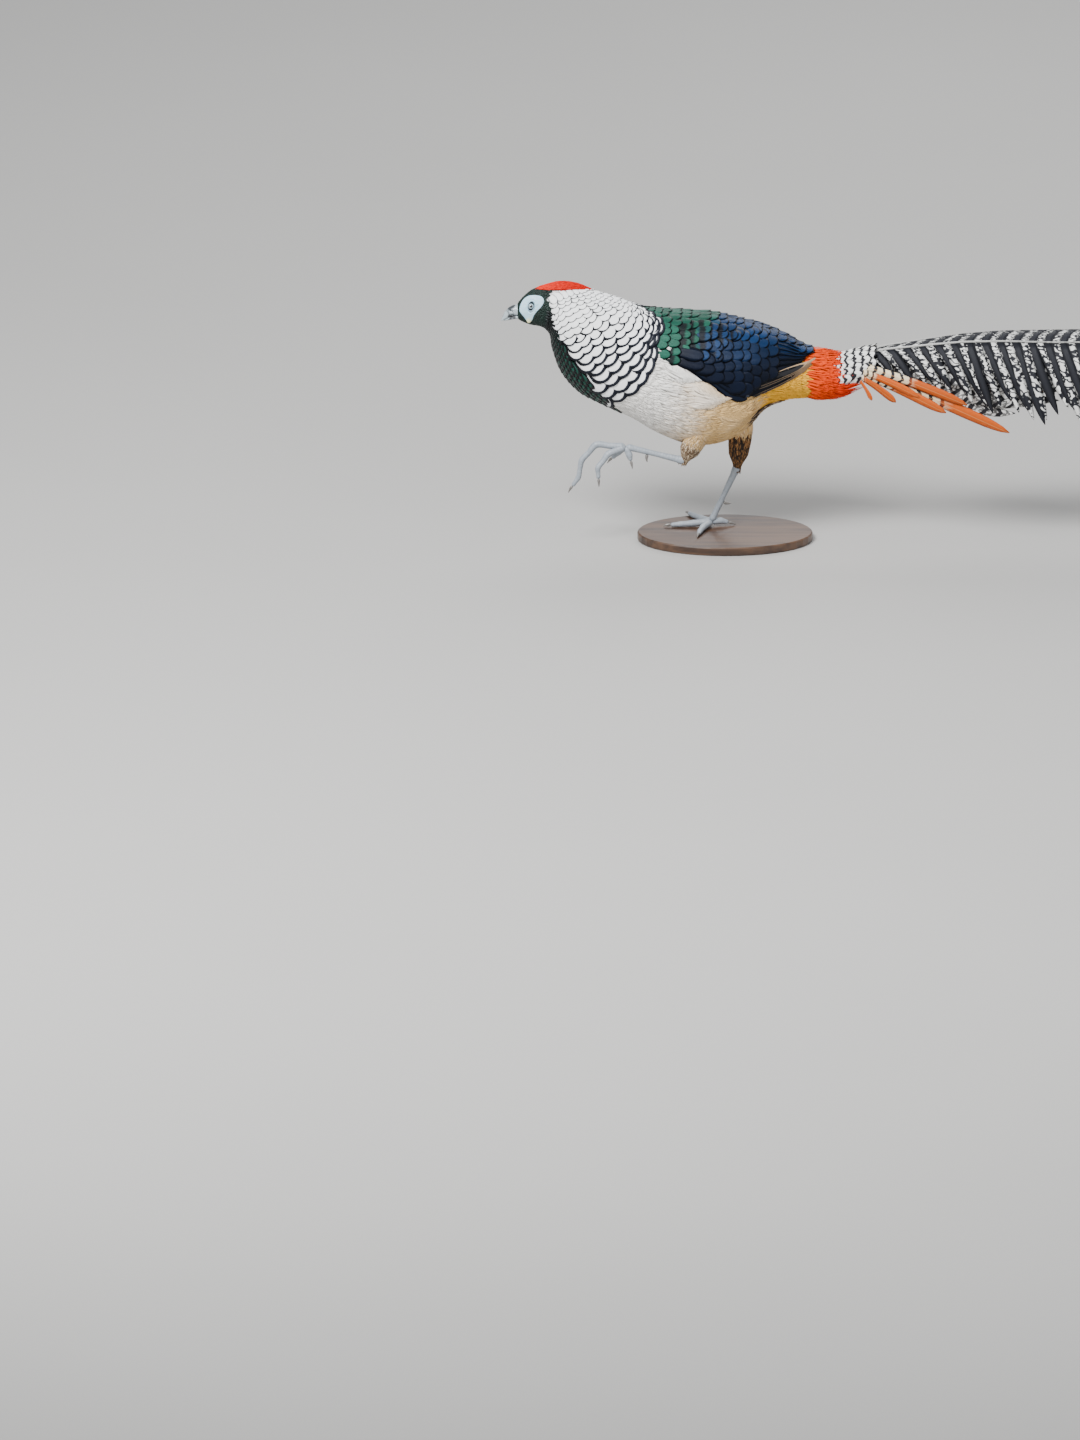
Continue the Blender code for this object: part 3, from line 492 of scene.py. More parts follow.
@dataclass(frozen=True)
class FringeFinish:
    """The central tail feathers: one black bar to each clump of barbs."""

    name: str = "barred_tail_vane"
    white: Triple = (0.78, 0.78, 0.76)
    dark: Triple = (0.010, 0.011, 0.016)

    def make(self) -> Material:
        """Return the material."""
        kit = Kit(self.name)
        out, across = kit.map("vane")
        chance, mark = kit.map("quill")
        wobble = kit.noise(kit.join(out * 5.0, across * 2.0, chance * 17.0), 1.0, 2.0) - 0.5
        place = across + wobble * 0.5
        solid = kit.smooth(place, 0.02, 0.12) * (1.0 - kit.smooth(place, 0.88, 0.98))
        fine = kit.noise(kit.join(out * 15.0, across * 1.6, chance * 23.0), 1.0, 1.0)
        broken = 1.0 - kit.smooth(abs(fine - 0.5), 0.060, 0.095)
        edge = 1.0 - kit.smooth(place, 0.10, 0.20)
        tone = kit.maths("MAXIMUM", broken, edge)
        tone = tone + (kit.maths("MAXIMUM", solid, broken) - tone) * mark
        shade = 0.86 + chance * 0.18
        colour = kit.mix(tone, kit.tint(self.white, shade), self.dark)
        kit.bump(kit.wave(across, 0.07), 0.0004, 0.5)
        return kit.dress(colour, 0.6, Specular_IOR_Level=0.3)


@dataclass(frozen=True)
class SkinFinish:
    """The skin under the coat, which carries the coat's markings."""

    name: str = "skin_under_coat"

    def make(self) -> Material:
        """Return the material."""
        kit = Kit(self.name)
        station, turn = kit.map("body")
        aside = abs(turn - 0.5) * 360.0
        station = station * MAP_STATIONS + (kit.noise(kit.place(), 90.0) - 0.5) * 0.8
        cap: Triple = (0.012, 0.030, 0.026)
        colour = kit.mix(kit.smooth(station, 3.0, 3.3), cap, (0.70, 0.71, 0.70))
        front = kit.smooth(aside + (6.0 - station) * 2.0, 108.0, 116.0)
        front = front * (1.0 - kit.smooth(station, 8.2, 8.6))
        colour = kit.mix(front, colour, (0.010, 0.045, 0.035))
        colour = kit.mix(kit.smooth(station, 9.4, 9.8), colour, (0.012, 0.060, 0.050))
        under = kit.smooth(aside + (10.0 - station) * 6.0, 52.0, 60.0)
        under = under * kit.smooth(station + aside * 0.012, 10.0, 10.5)
        pale = kit.mix(kit.smooth(station, 11.0, 13.6), (0.78, 0.76, 0.70), (0.60, 0.44, 0.27))
        colour = kit.mix(under, colour, pale)
        colour = kit.mix(kit.smooth(station, 14.2, 14.8), colour, (0.72, 0.36, 0.06))
        colour = kit.mix(kit.smooth(station, 16.6, 17.2), colour, (0.70, 0.09, 0.01))
        kit.bump(kit.noise(kit.place(), 400.0), 0.0004, 0.5)
        return kit.dress(colour, 0.8)


@dataclass(frozen=True)
class FaceFinish:
    """Bare pale blue skin with fine warts, yellower on the lobe."""

    name: str = "bare_face_skin"

    def make(self) -> Material:
        """Return the material."""
        kit = Kit(self.name)
        near, lobe = kit.map("vane")
        mottle = kit.noise(kit.place(), 260.0)
        colour = kit.mix(mottle, (0.30, 0.53, 0.68), (0.56, 0.78, 0.88))
        colour = kit.mix(lobe, colour, (0.74, 0.76, 0.46))
        colour = kit.mix((1.0 - kit.smooth(near, 0.03, 0.14)) * 0.8, colour, (0.10, 0.13, 0.17))
        colour = kit.mix(kit.smooth(near, 0.90, 0.99) * 0.6, colour, (0.10, 0.14, 0.16))
        kit.bump(mottle - kit.worley(kit.place(), 900.0) * 0.8, 0.0005, 0.7)
        return kit.dress(colour, 0.5, Subsurface_Weight=0.12, Subsurface_Scale=0.002)


@dataclass(frozen=True)
class EyeFinish:
    """A wet eye: black pupil, blue-grey iris and a thin dark ring."""

    name: str
    centre: Triple
    axis: Triple

    def make(self) -> Material:
        """Return the material."""
        kit = Kit(self.name)
        arm = kit.vectors("SUBTRACT", kit.place(), self.centre).outputs[0]
        cross = kit.vectors("CROSS_PRODUCT", arm, self.axis).outputs[0]
        off = Value(kit, kit.vectors("LENGTH", cross).outputs["Value"]) * 1000.0
        streak = kit.noise(kit.place(), 1500.0)
        iris = kit.mix(streak, (0.20, 0.31, 0.38), (0.46, 0.58, 0.62))
        colour = kit.mix(kit.smooth(off, 1.85, 2.05), (0.002, 0.002, 0.003), iris)
        colour = kit.mix(kit.smooth(off, 3.30, 3.65), colour, (0.010, 0.014, 0.020))
        return kit.dress(colour, 0.12, Coat_Weight=1.0, Coat_Roughness=0.02)


@dataclass(frozen=True)
class HornFinish:
    """Horn of the bill or claws, blotched dark and worn pale."""

    name: str
    pale: Triple
    dark: Triple
    blotch: tuple[float, float] = (0.45, 0.62)
    tip_dark: float = 0.0

    def make(self) -> Material:
        """Return the material."""
        kit = Kit(self.name)
        along, _ = kit.map("vane")
        cloud = kit.noise(kit.place(), 240.0, 4.0)
        mid = 1.0 - kit.smooth(abs(along - 0.42), 0.10, 0.34)
        dark = kit.smooth(cloud * 0.8 + mid * 0.22, *self.blotch)
        dark = kit.maths("MAXIMUM", dark, kit.smooth(along, 0.35, 1.0) * self.tip_dark)
        colour = kit.mix(dark, self.pale, self.dark)
        layers = kit.noise(kit.join(along * 60.0, 0.0), 1.0)
        kit.bump(layers + cloud, 0.0003, 0.5)
        return kit.dress(colour, 0.35, Coat_Weight=0.15)


@dataclass(frozen=True)
class ScaleFinish:
    """Blue-grey leg scales with dirty seams."""

    name: str = "leg_scales"

    def make(self) -> Material:
        """Return the material."""
        kit = Kit(self.name)
        along, around = kit.map("vane")
        seam = 1.0 - kit.smooth(abs(kit.maths("FRACT", along / 0.0042) - 0.5), 0.36, 0.48)
        cloud = kit.noise(kit.place(), 180.0, 4.0)
        colour = kit.mix(cloud, (0.18, 0.21, 0.25), (0.36, 0.39, 0.42))
        colour = kit.mix((1.0 - seam) * 0.12, colour, (0.12, 0.12, 0.12))
        net = kit.worley(kit.join(along * 420.0, around * 9.0), 1.0)
        kit.bump(seam * 0.5 - net * 0.4, 0.0005, 0.5)
        return kit.dress(colour, 0.48)


@dataclass(frozen=True)
class WoodFinish:
    """Dark oiled wood with grain along the stand."""

    name: str = "dark_stand_wood"

    def make(self) -> Material:
        """Return the material."""
        kit = Kit(self.name)
        grain = kit.noise(kit.place((2.2, 26.0, 26.0)), 3.0, 8.0)
        fibre = kit.noise(kit.place((8.0, 260.0, 260.0)), 2.0, 4.0)
        ringed = kit.smooth(grain, 0.35, 0.65)
        colour = kit.mix(ringed, (0.032, 0.015, 0.008), (0.090, 0.045, 0.023))
        colour = kit.mix(kit.smooth(fibre, 0.55, 0.75) * 0.5, colour, (0.035, 0.018, 0.010))
        kit.bump(grain + fibre, 0.0006, 0.3)
        return kit.dress(colour, 0.42, Coat_Weight=0.2)


@dataclass(frozen=True)
class FloorFinish:
    """Pale matt studio floor."""

    name: str = "studio_floor"

    def make(self) -> Material:
        """Return the material."""
        kit = Kit(self.name)
        cloud = kit.noise(kit.place(), 1.2)
        return kit.dress(kit.mix(cloud, (0.36, 0.355, 0.345), (0.39, 0.385, 0.375)), 0.9)


# Shapes


def by_feather(values: Array) -> Array:
    """Return one value per feather, ready to spread over rows and columns."""
    return values[:, None, None]


def measured(measure: Measure, tip: float, angle: float) -> float:
    """Return a measure, at the place given where it isn't the same all over."""
    return measure(tip, angle) if callable(measure) else measure


def share_of(value: float) -> float:
    """Return a value held between 0 and 1."""
    return min(1.0, max(0.0, value))


def edge_at(table: Array, column: int, place: Array) -> Array:
    """Return a column of a table at places along its first one."""
    return np.interp(place, table[:, 0], table[:, column])


def unit(vectors: Array) -> Array:
    """Return vectors at a length of one."""
    return vectors / np.linalg.norm(vectors, axis=-1, keepdims=True)


def unwrap(station: Array, angle: Array) -> Array:
    """Return places on the skin's unwrap, from 0 to 1."""
    return np.stack([station / MAP_STATIONS, angle / 360.0 + 0.5], axis=-1)


def lattice(outline: Outline, columns: int) -> tuple[Array, Array, Array]:
    """Return shares of the length and width and places across, ready to spread."""
    u, share = np.array(outline, float).T[:, None, :, None]
    return u, share, np.linspace(-1, 1, columns)[None, None, :]


class BodyShape:
    """The smooth surface of the bird's body."""

    def row(self, station: Array) -> Array:
        """Return the five numbers of the skin at each station."""
        last = len(SKIN) - 1
        station = np.clip(station, 0.0, last)
        i = np.minimum(station.astype(int), last - 1)
        t = (station - i)[..., None]
        before, start = SKIN[np.maximum(i - 1, 0)], SKIN[i]
        end, after = SKIN[i + 1], SKIN[np.minimum(i + 2, last)]
        return 0.5 * (
            2 * start + (end - before) * t + (2 * before - 5 * start + 4 * end - after) * t**2
            + (3 * start - before - 3 * end + after) * t**3
        )

    def point(self, station: Array, angle: Array, height: Array) -> Array:
        """Return the world points at stations, angles and heights."""
        station, angle, height = np.broadcast_arrays(station, angle, height)
        row = self.row(np.asarray(station, float))
        half_x, half_z = (row[..., 0] - row[..., 2]) / 2, (row[..., 1] - row[..., 3]) / 2
        tall = np.hypot(half_x, half_z)
        turn = np.radians(angle)
        cosine, sine = np.cos(turn), np.sin(turn)
        out = (tall + height) * cosine / tall
        aside = (row[..., 4] * (1 - 0.06 * cosine) + height) * sine
        return np.stack([
            (row[..., 0] + row[..., 2]) / 2 + half_x * out,
            -aside,
            (row[..., 1] + row[..., 3]) / 2 + half_z * out + STAND_TOP,
        ], axis=-1)

    def grain(self, station: Array, angle: Array) -> tuple[Array, Array]:
        """Return how a point moves per station and per degree."""
        station, angle = np.broadcast_arrays(station, angle)
        step = np.where(station > 18.5, -0.05, 0.05)
        here = self.point(station, angle, 0.0)
        per_station = (self.point(station + step, angle, 0.0) - here) / step[..., None]
        per_degree = self.point(station, angle + 1.0, 0.0) - here
        return per_station, per_degree

    def unmove(self, station: Array, angle: Array, move: Array) -> tuple[Array, Array]:
        """Return the stations and degrees that make a move in space."""
        first, second = self.grain(station, angle)
        aa, bb = np.sum(first * first, axis=-1), np.sum(second * second, axis=-1)
        ab = np.sum(first * second, axis=-1)
        am, bm = np.sum(first * move, axis=-1), np.sum(second * move, axis=-1)
        rest = aa * bb - ab * ab
        return (bb * am - ab * bm) / rest, (aa * bm - ab * am) / rest

    def sideways(
        self, station: Array, angle: Array, run: Array, swing: Array
    ) -> tuple[Array, Array]:
        """Return the stations and degrees of a metre across a course.

        Args:
            station: Where the course is.
            angle: Where the course is.
            run: Stations that the course gains.
            swing: Degrees that the course gains.
        """
        first, second = self.grain(station, angle)
        course = first * run[..., None] + second * swing[..., None]
        out = unit(np.cross(np.cross(first, second), course))
        return self.unmove(station, angle, out)

    def radius(self, station: float, angle: float) -> float:
        """Return how far one radian round the body carries, in metres."""
        row = self.row(np.array(station))
        tall = np.hypot(row[0] - row[2], row[1] - row[3]) / 2
        turn = np.radians(angle)
        return float(np.hypot(row[4] * np.cos(turn), tall * np.sin(turn)))


def settle(thing: bpy.types.Object, nodes: Sequence[str] = ()) -> None:
    """Bind a finished piece to the solids.

    Args:
        thing: The piece.
        nodes: The solid nodes that it stands for.
    """
    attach(thing, "root")
    if nodes:
        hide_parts(*nodes)
    log.info("%s: %d faces", thing.name, len(thing.data.polygons))


def ring_faces(rings: int, count: int) -> list[Array]:
    """Return the quads between rings of points, and the two end caps."""
    j = np.arange(count)
    k = (j + 1) % count
    i = np.arange(rings - 1)[:, None] * count
    quads = np.stack([i + j, i + k, i + count + k, i + count + j], axis=-1).reshape(-1, 4)
    return [quads, np.stack([j[::-1], (rings - 1) * count + j])]


class MeshMaker:
    """Collects points, faces and UV maps, and makes one object of them."""

    def __init__(self) -> None:
        """Start with nothing."""
        self.points: list[Array] = []
        self.faces: list[Array] = []
        self.maps: dict[str, list[Array]] = {"vane": [], "quill": [], "OFBake": []}
        self.count = 0

    def add(self, points: Array, faces: Sequence[Array], maps: dict[str, Array]) -> None:
        """Add a part.

        Args:
            points: Its points, in a grid of any shape.
            faces: Arrays of faces, each of one number of corners.
            maps: A UV pair for each point, by the map's name.
        """
        points = points.reshape(-1, 3)
        self.points.append(points)
        self.faces += [part + self.count for part in faces]
        for name, parts in self.maps.items():
            parts.append(maps.get(name, np.zeros((len(points), 2))).reshape(-1, 2))
        self.count += len(points)

    def make(self, name: str, material: Material) -> bpy.types.Object:
        """Return the object."""
        points = np.concatenate(self.points)
        corners = np.concatenate([part.ravel() for part in self.faces])
        totals = np.concatenate([np.full(len(p), p.shape[1]) for p in self.faces])
        starts = np.concatenate([[0], np.cumsum(totals)[:-1]])
        mesh = bpy.data.meshes.new(name)
        mesh.vertices.add(len(points))
        mesh.vertices.foreach_set("co", points.astype(np.float32).ravel())
        mesh.loops.add(len(corners))
        mesh.loops.foreach_set("vertex_index", corners.astype(np.int32))
        mesh.polygons.add(len(totals))
        mesh.polygons.foreach_set("loop_start", starts.astype(np.int32))
        mesh.polygons.foreach_set("use_smooth", np.full(len(totals), True))
        for label, parts in self.maps.items():
            layer = mesh.uv_layers.new(name=label)
            values = np.concatenate(parts)[corners]
            layer.data.foreach_set("uv", values.astype(np.float32).ravel())
        mesh.update(calc_edges=True)
        mesh.validate()
        mesh.materials.append(material)
        thing = bpy.data.objects.new(name, mesh)
        bpy.context.scene.collection.objects.link(thing)
        return thing

    def settle(self, name: str, material: Material, slot: str, nodes: Sequence[str] = ()) -> None:
        """Make the piece, turn its faces outwards and bind it to the solids."""
        thing = self.make(name, material)
        work = bmesh.new()
        work.from_mesh(thing.data)
        bmesh.ops.recalc_face_normals(work, faces=work.faces)
        work.to_mesh(thing.data)
        work.free()
        settle(thing, nodes)


class Quill(NamedTuple):
    """The place of one feather on the body, its width, its heights and its mark."""

    station: float
    angle: float
    tip_station: float
    tip_angle: float
    width: float
    low: float
    high: float
    mark: float


class Coat:
    """One piece of many closed, thin feathers."""

    def __init__(self, seed: int, plan: BakePlan = BakePlan.CELLS) -> None:
        """Start an empty coat.

        Args:
            seed: Seed of the feathers' chance values.
            plan: How the feathers are spread on the OFBake map.
        """
        self.chance = np.random.default_rng(seed)
        self.plan = plan
        self.parts: list[tuple[Array, Array, Array, Array, Array, Array, Array]] = []

    def plates(
        self, upper: Array, under: Array, along: Array, across: Array, mark: Array,
        root: Array,
    ) -> None:
        """Add closed plates from grids of their two sides.

        Args:
            upper: Upper points, by feather, row, column and axis.
            under: Under points in the same order.
            along: Share of the length, from 0 to 1.
            across: Place across, from -1 to 1.
            mark: One number per feather.
            root: Place of each root on the skin's unwrap, from 0 to 1.
        """
        along, across = (
            np.broadcast_to(each, upper.shape[:3]) for each in (along, 0.5 + 0.5 * across)
        )
        luck = self.chance.random(len(upper))
        self.parts.append((upper, under, along, across, mark, luck, root))

    def lay(
        self, body: BodyShape, quills: Sequence[Quill], outline: Outline, columns: int = 3,
        thickness: float = 0.0005, camber: float = 0.0006, curl: float = 0.0,
        tip_noise: float = 0.0,
    ) -> None:
        """Lay feathers on the body.

        Args:
            body: The body's shape.
            quills: Where the feathers start and end.
            outline: Share of the width along each feather.
            columns: Points across each side.
            thickness: Thickness at the shaft.
            camber: How far the middle stands over the edges.
            curl: How far the tip stands off.
            tip_noise: How far tips are raised or sunk at random.
        """
        u, share, v = lattice(outline, columns)
        table = np.array(quills, float).T
        station, angle, tip_station, tip_angle, width, low, high, mark = map(by_feather, table)
        raised = by_feather(self.chance.random(len(quills)) - 0.5) * 2 * tip_noise
        run, swing = tip_station - station, tip_angle - angle
        middle, turn = station + run * u, angle + swing * u
        step, tilt = body.sideways(middle, turn, run, swing)
        reach = v * share * width / 2
        middle, turn = middle + step * reach, turn + tilt * reach
        height = low + (high - low) * u + (curl + raised) * u**2 + camber * (1 - v**2)
        half = thickness / 2 * (1 - v**2) * (1 - 0.5 * u)
        self.plates(
            body.point(middle, turn, height + half), body.point(middle, turn, height - half),
            u, v * share, mark.ravel(), unwrap(table[0], table[1]),
        )

    def blades(
        self, spine: Array, sides: Array, width: Array, outline: Outline, mark: Array,
        columns: int = 5, thickness: float = 0.0008, camber: float = 0.1,
    ) -> None:
        """Add feathers along paths in space.

        Args:
            spine: Points of each shaft, by feather, row and axis.
            sides: Direction across at each point.
            width: Greatest width of each feather.
            outline: Share of the width at each row.
            mark: One number per feather.
            columns: Points across each side.
            thickness: Thickness at the shaft.
            camber: Arch of the section as a share of the width.
        """
        u, share, v = lattice(outline, columns)
        tangent = unit(np.gradient(spine, axis=1))
        sides = unit(sides - tangent * np.sum(sides * tangent, axis=-1, keepdims=True))
        up = np.cross(tangent, sides)[:, :, None, :]
        half = (share * by_feather(width) / 2)[..., None]
        dome = (1 - v**2)[..., None]
        arch = camber * 2 * half * dome
        lens = thickness / 2 * dome
        flat = spine[:, :, None, :] + sides[:, :, None, :] * half * v[..., None]
        root = np.stack([np.linspace(0, 1, len(spine)), np.full(len(spine), 0.5)], axis=-1)
        self.plates(
            flat + up * (arch + lens), flat + up * (arch - lens), u, v * share, mark, root
        )

    def spread(self, ranks: Array, places: Array, uv: Array, cells: int) -> Array:
        """Return the OFBake places of some feathers' points.

        Args:
            ranks: Order of the feathers among all of the piece.
            places: Their roots' places, from 0 to 1.
            uv: Shares of the width and length at each point.
            cells: Cells along each side of the map.
        """
        if self.plan is BakePlan.ROOTS:
            return (places * 0.99 + 0.002)[:, None, :] + uv * BAKE_PATCH
        cell = np.stack([ranks % cells, ranks // cells], axis=-1)
        return (uv * 0.9 + 0.05 + cell[:, None, :]) / cells

    def settle(self, name: str, material: Material, slot: str, nodes: Sequence[str] = ()) -> None:
        """Make all feathers one object and bind it to the solids."""
        maker = MeshMaker()
        places = np.concatenate([part[6] for part in self.parts])
        total = len(places)
        rank = np.empty(total, int)
        rank[np.lexsort((places[:, 1], np.round(places[:, 0] * 60)))] = np.arange(total)
        low = places.min(0)
        room = np.maximum(places.max(0) - low, 1e-6)
        cells = math.ceil(math.sqrt(total))
        done = 0
        for upper, under, along, across, mark, luck, root in self.parts:
            number, rows, columns = upper.shape[:3]
            inner = slice(columns - 2, 0, -1)
            ring = 2 * columns - 2
            points, u, v = (
                np.concatenate([first, second[:, :, inner]], axis=2)
                for first, second in ((upper, under), (along, along), (across, across))
            )
            u, v = u.reshape(number, -1), v.reshape(number, -1)
            first = upper[:, :, 1:] - upper[:, :, :-1]
            second = upper[:, 1:] - upper[:, :-1]
            facing = np.cross(first[:, :-1], second[:, :, :-1])
            outward = (upper - under)[:, :-1, :-1] + (upper - under)[:, 1:, 1:]
            turned = np.sum(facing * outward, axis=(1, 2, 3)) < 0
            offsets = by_feather(np.arange(number) * rows * ring)
            faces = []
            for part in ring_faces(rows, ring):
                faces.append((part[None] + offsets[~turned]).reshape(-1, part.shape[1]))
                faces.append((part[None, :, ::-1] + offsets[turned]).reshape(-1, part.shape[1]))
            maker.add(points, [part for part in faces if len(part)], {
                "vane": np.stack([u, v], axis=-1),
                "quill": np.repeat(np.stack([luck, mark], axis=-1), rows * ring, axis=0),
                "OFBake": self.spread(
                    rank[done:done + number], (root - low) / room, np.stack([v, u], axis=-1), cells
                ),
            })
            done += number
        settle(maker.make(name, material), nodes)


@dataclass
class Tract:
    """Rows of feathers over a part of the body.

    Attributes:
        rows: Number of rows.
        start: Station of the first row's tips.
        pitch: Stations from one row to the next.
        span: Lower and upper angle of the rows.
        keep: Whether a feather stands at a station and an angle.
        width: Width of a feather, which may depend on the same two.
        low: Height of its root.
        high: Height of its tip.
        length: Its length in stations.
        mark: The number that its finish reads.
        step: Distance between neighbours as a share of the width.
        jitter: Random shift, as a share of the distance.
        flow: Turn of the tip away from the top, in degrees.
        seed: Seed of the shifts.
    """

    rows: int
    start: float
    pitch: float
    span: tuple[float, float]
    keep: Callable[[float, float], bool]
    width: Measure
    low: Measure
    high: Measure
    length: Measure = 0.95
    mark: Measure = 0.0
    step: float = 0.62
    jitter: float = 0.12
    flow: float = 0.0
    seed: int = 1

    def quills(self, body: BodyShape) -> list[Quill]:
        """Return the places of the tract's feathers on both sides."""
        chance = np.random.default_rng(self.seed)
        found = []
        first, last = self.span
        for row in range(self.rows):
            tip = self.start + self.pitch * row
            gap = self.step * measured(self.width, tip, first)
            shift = math.degrees(gap / max(body.radius(tip, first), 0.008))
            for side in (1, -1):
                angle = first + shift * (0.5 if row % 2 else 0.0)
                while angle <= last:
                    width = measured(self.width, tip, angle)
                    pitch = math.degrees(self.step * width / max(body.radius(tip, angle), 0.008))
                    doubled = side == -1 and angle < 1e-6
                    if self.keep(tip, angle) and not doubled:
                        length = measured(self.length, tip, angle)
                        here = angle + (chance.random() - 0.5) * 2 * self.jitter * pitch
                        push = (chance.random() - 0.5) * 2 * self.jitter * length * 0.5
                        found.append(Quill(
                            max(tip + push - length, 0.02), side * (here - self.flow * 0.5),
                            tip + push, side * (here + self.flow * 0.5), width,
                            *(measured(each, tip, angle) for each in (
                                self.low, self.high, self.mark,
                            )),
                        ))
                    angle += pitch
        return found


@dataclass
class Plumage:
    """A part of the bird whose feathers lie on its body."""

    body: BodyShape

    def plant(
        self, name: str, slot: str, material: Material, feathers: Tract | Sequence[Quill],
        outline: Outline, seed: int, plan: BakePlan = BakePlan.ROOTS, nodes: Sequence[str] = (),
        **form: float,
    ) -> None:
        """Lay one piece of feathers on the body and bind it to the solids.

        Args:
            name: The piece's name.
            slot: Not used.
            material: Its material.
            feathers: Where its feathers start and end.
            outline: Share of the width along each feather.
            seed: Seed of the feathers' chance values.
            plan: How the feathers are spread on the OFBake map.
            nodes: The solid nodes that it stands for.
            form: What else Coat.lay takes.
        """
        if isinstance(feathers, Tract):
            feathers = feathers.quills(self.body)
        coat = Coat(seed, plan)
        coat.lay(self.body, feathers, outline, **form)
        coat.settle(name, material, slot, nodes)


def cape_row(row: float, angle: float) -> float:
    """Return the station of a row of the cape, counted from its rear edge."""
    places = [float(np.interp(angle, CAPE_TURNS, line)) for line in CAPE_ROWS]
    return float(np.interp(row, CAPE_COUNTS, places))


def rear_edge(angle: float) -> float:
    """Return the station of the cape's rear edge at an angle."""
    return cape_row(0.0, angle) - max(angle - 140, 0.0) * 0.02


def front_edge(angle: float) -> float:
    """Return the station of the cape's front edge at an angle."""
    return float(np.interp(
        angle, (0, 20, 40, 66, 84, 96, 106, 118, 121, 126, 136, 147, 160),
        (4.9, 3.5, 3.3, 3.1, 3.4, 3.8, 4.05, 5.0, 5.7, 6.9, 7.5, 7.9, 8.4),
    ))


def wing_edges(station: float) -> tuple[float, float]:
    """Return the upper and lower edge of the folded wing at a station."""
    return float(edge_at(WING_SPAN, 1, station)), float(edge_at(WING_SPAN, 2, station))


def trace_face() -> tuple[Array, Array]:
    """Return directions from the eye and the face's smoothed reach in each."""
    corner = (FACE_EDGE - np.array(EYE_AT)) * np.array([HEAD_STATION, HEAD_DEGREE])
    edge = np.roll(corner, -1, axis=0) - corner
    turn = np.radians(np.arange(360.0))
    way = np.stack([np.cos(turn), np.sin(turn)], axis=-1)[:, None]
    rest = way[..., 0] * edge[:, 1] - way[..., 1] * edge[:, 0]
    far = (corner[:, 0] * edge[:, 1] - corner[:, 1] * edge[:, 0]) / rest
    share = (corner[:, 0] * way[..., 1] - corner[:, 1] * way[..., 0]) / rest
    reach = np.where((share >= 0) & (share <= 1) & (far > 0), far, 0.0).max(axis=1)
    window = np.exp(-((np.arange(-24, 25) / 8.0) ** 2))
    spread = np.convolve(np.tile(reach, 3), window / window.sum(), mode="same")
    return turn, spread[360:720]


FACE_TURNS, FACE_REACH = trace_face()


def face_reach(turn: Array) -> Array:
    """Return how far the bare face goes from the eye in each direction."""
    return np.interp(turn, FACE_TURNS, FACE_REACH, period=2 * np.pi)


def beyond_face(station: float, angle: float) -> float:
    """Return how far outside the bare face a place is, in metres."""
    x, y = (station - EYE_AT[0]) * HEAD_STATION, (angle - EYE_AT[1]) * HEAD_DEGREE
    return math.hypot(x, y) - float(face_reach(np.array(math.atan2(y, x))))


def swept_tube(
    maker: MeshMaker, path: Array, radii: Array, count: int = 20,
    relief: Callable[[Array, Array], Array] | None = None,
    bake: tuple[float, float] = (0.0, 1.0),
) -> None:
    """Add a round bar with domed ends along a smooth path.

    Args:
        maker: Where it is added.
        path: Its points.
        radii: Its radius at each point.
        count: Points around.
        relief: Extra radius from the length in metres and the turn in radians.
        bake: First and last place across the OFBake map.
    """
    lengths = np.concatenate([[0], np.cumsum(np.linalg.norm(np.diff(path, axis=0), axis=1))])
    steps = max(8, int(lengths[-1] / 0.0009))
    dense = np.linspace(0, lengths[-1], steps)
    centre = np.stack([smooth_through(lengths, path[:, i], dense) for i in range(3)], axis=-1)
    size = np.interp(dense, lengths, radii)
    start, end = radii[0], radii[-1]
    size = size * np.sqrt(np.clip(dense / start, 0.02, 1)) * np.sqrt(
        np.clip((lengths[-1] - dense) / end, 0.02, 1)
    )
    tangent = unit(np.gradient(centre, axis=0))
    across = np.cross(path[-1] - path[0], np.array([0.3, 1.0, 0.1]))
    turn = np.linspace(0, 2 * np.pi, count, endpoint=False)
    points = np.empty((steps, count, 3))
    for i in range(steps):
        across = unit(across - tangent[i] * np.dot(across, tangent[i]))
        other = np.cross(tangent[i], across)
        radius = np.full(count, size[i])
        if relief is not None:
            radius = radius + relief(np.full(count, dense[i]), turn)
        points[i] = centre[i] + (
            np.outer(np.cos(turn) * radius, across) + np.outer(np.sin(turn) * radius, other)
        )
    uv = np.stack(np.meshgrid(dense, turn / (2 * np.pi), indexing="ij"), axis=-1)
    baked = uv / (lengths[-1], 1.0)
    baked[..., 0] = bake[0] + (bake[1] - bake[0]) * baked[..., 0]
    maker.add(points, ring_faces(steps, count), {"vane": uv, "OFBake": baked})


def smooth_through(places: Array, values: Array, at: Array) -> Array:
    """Return values on a smooth curve through given ones."""
    slope = np.gradient(values, places)
    i = np.clip(np.searchsorted(places, at, side="right") - 1, 0, len(places) - 2)
    gap = places[i + 1] - places[i]
    t = (at - places[i]) / gap
    return (
        (2 * t**3 - 3 * t**2 + 1) * values[i] + (t**3 - 2 * t**2 + t) * gap * slope[i]
        + (3 * t**2 - 2 * t**3) * values[i + 1] + (t**3 - t**2) * gap * slope[i + 1]
    )


# Sub-assemblies


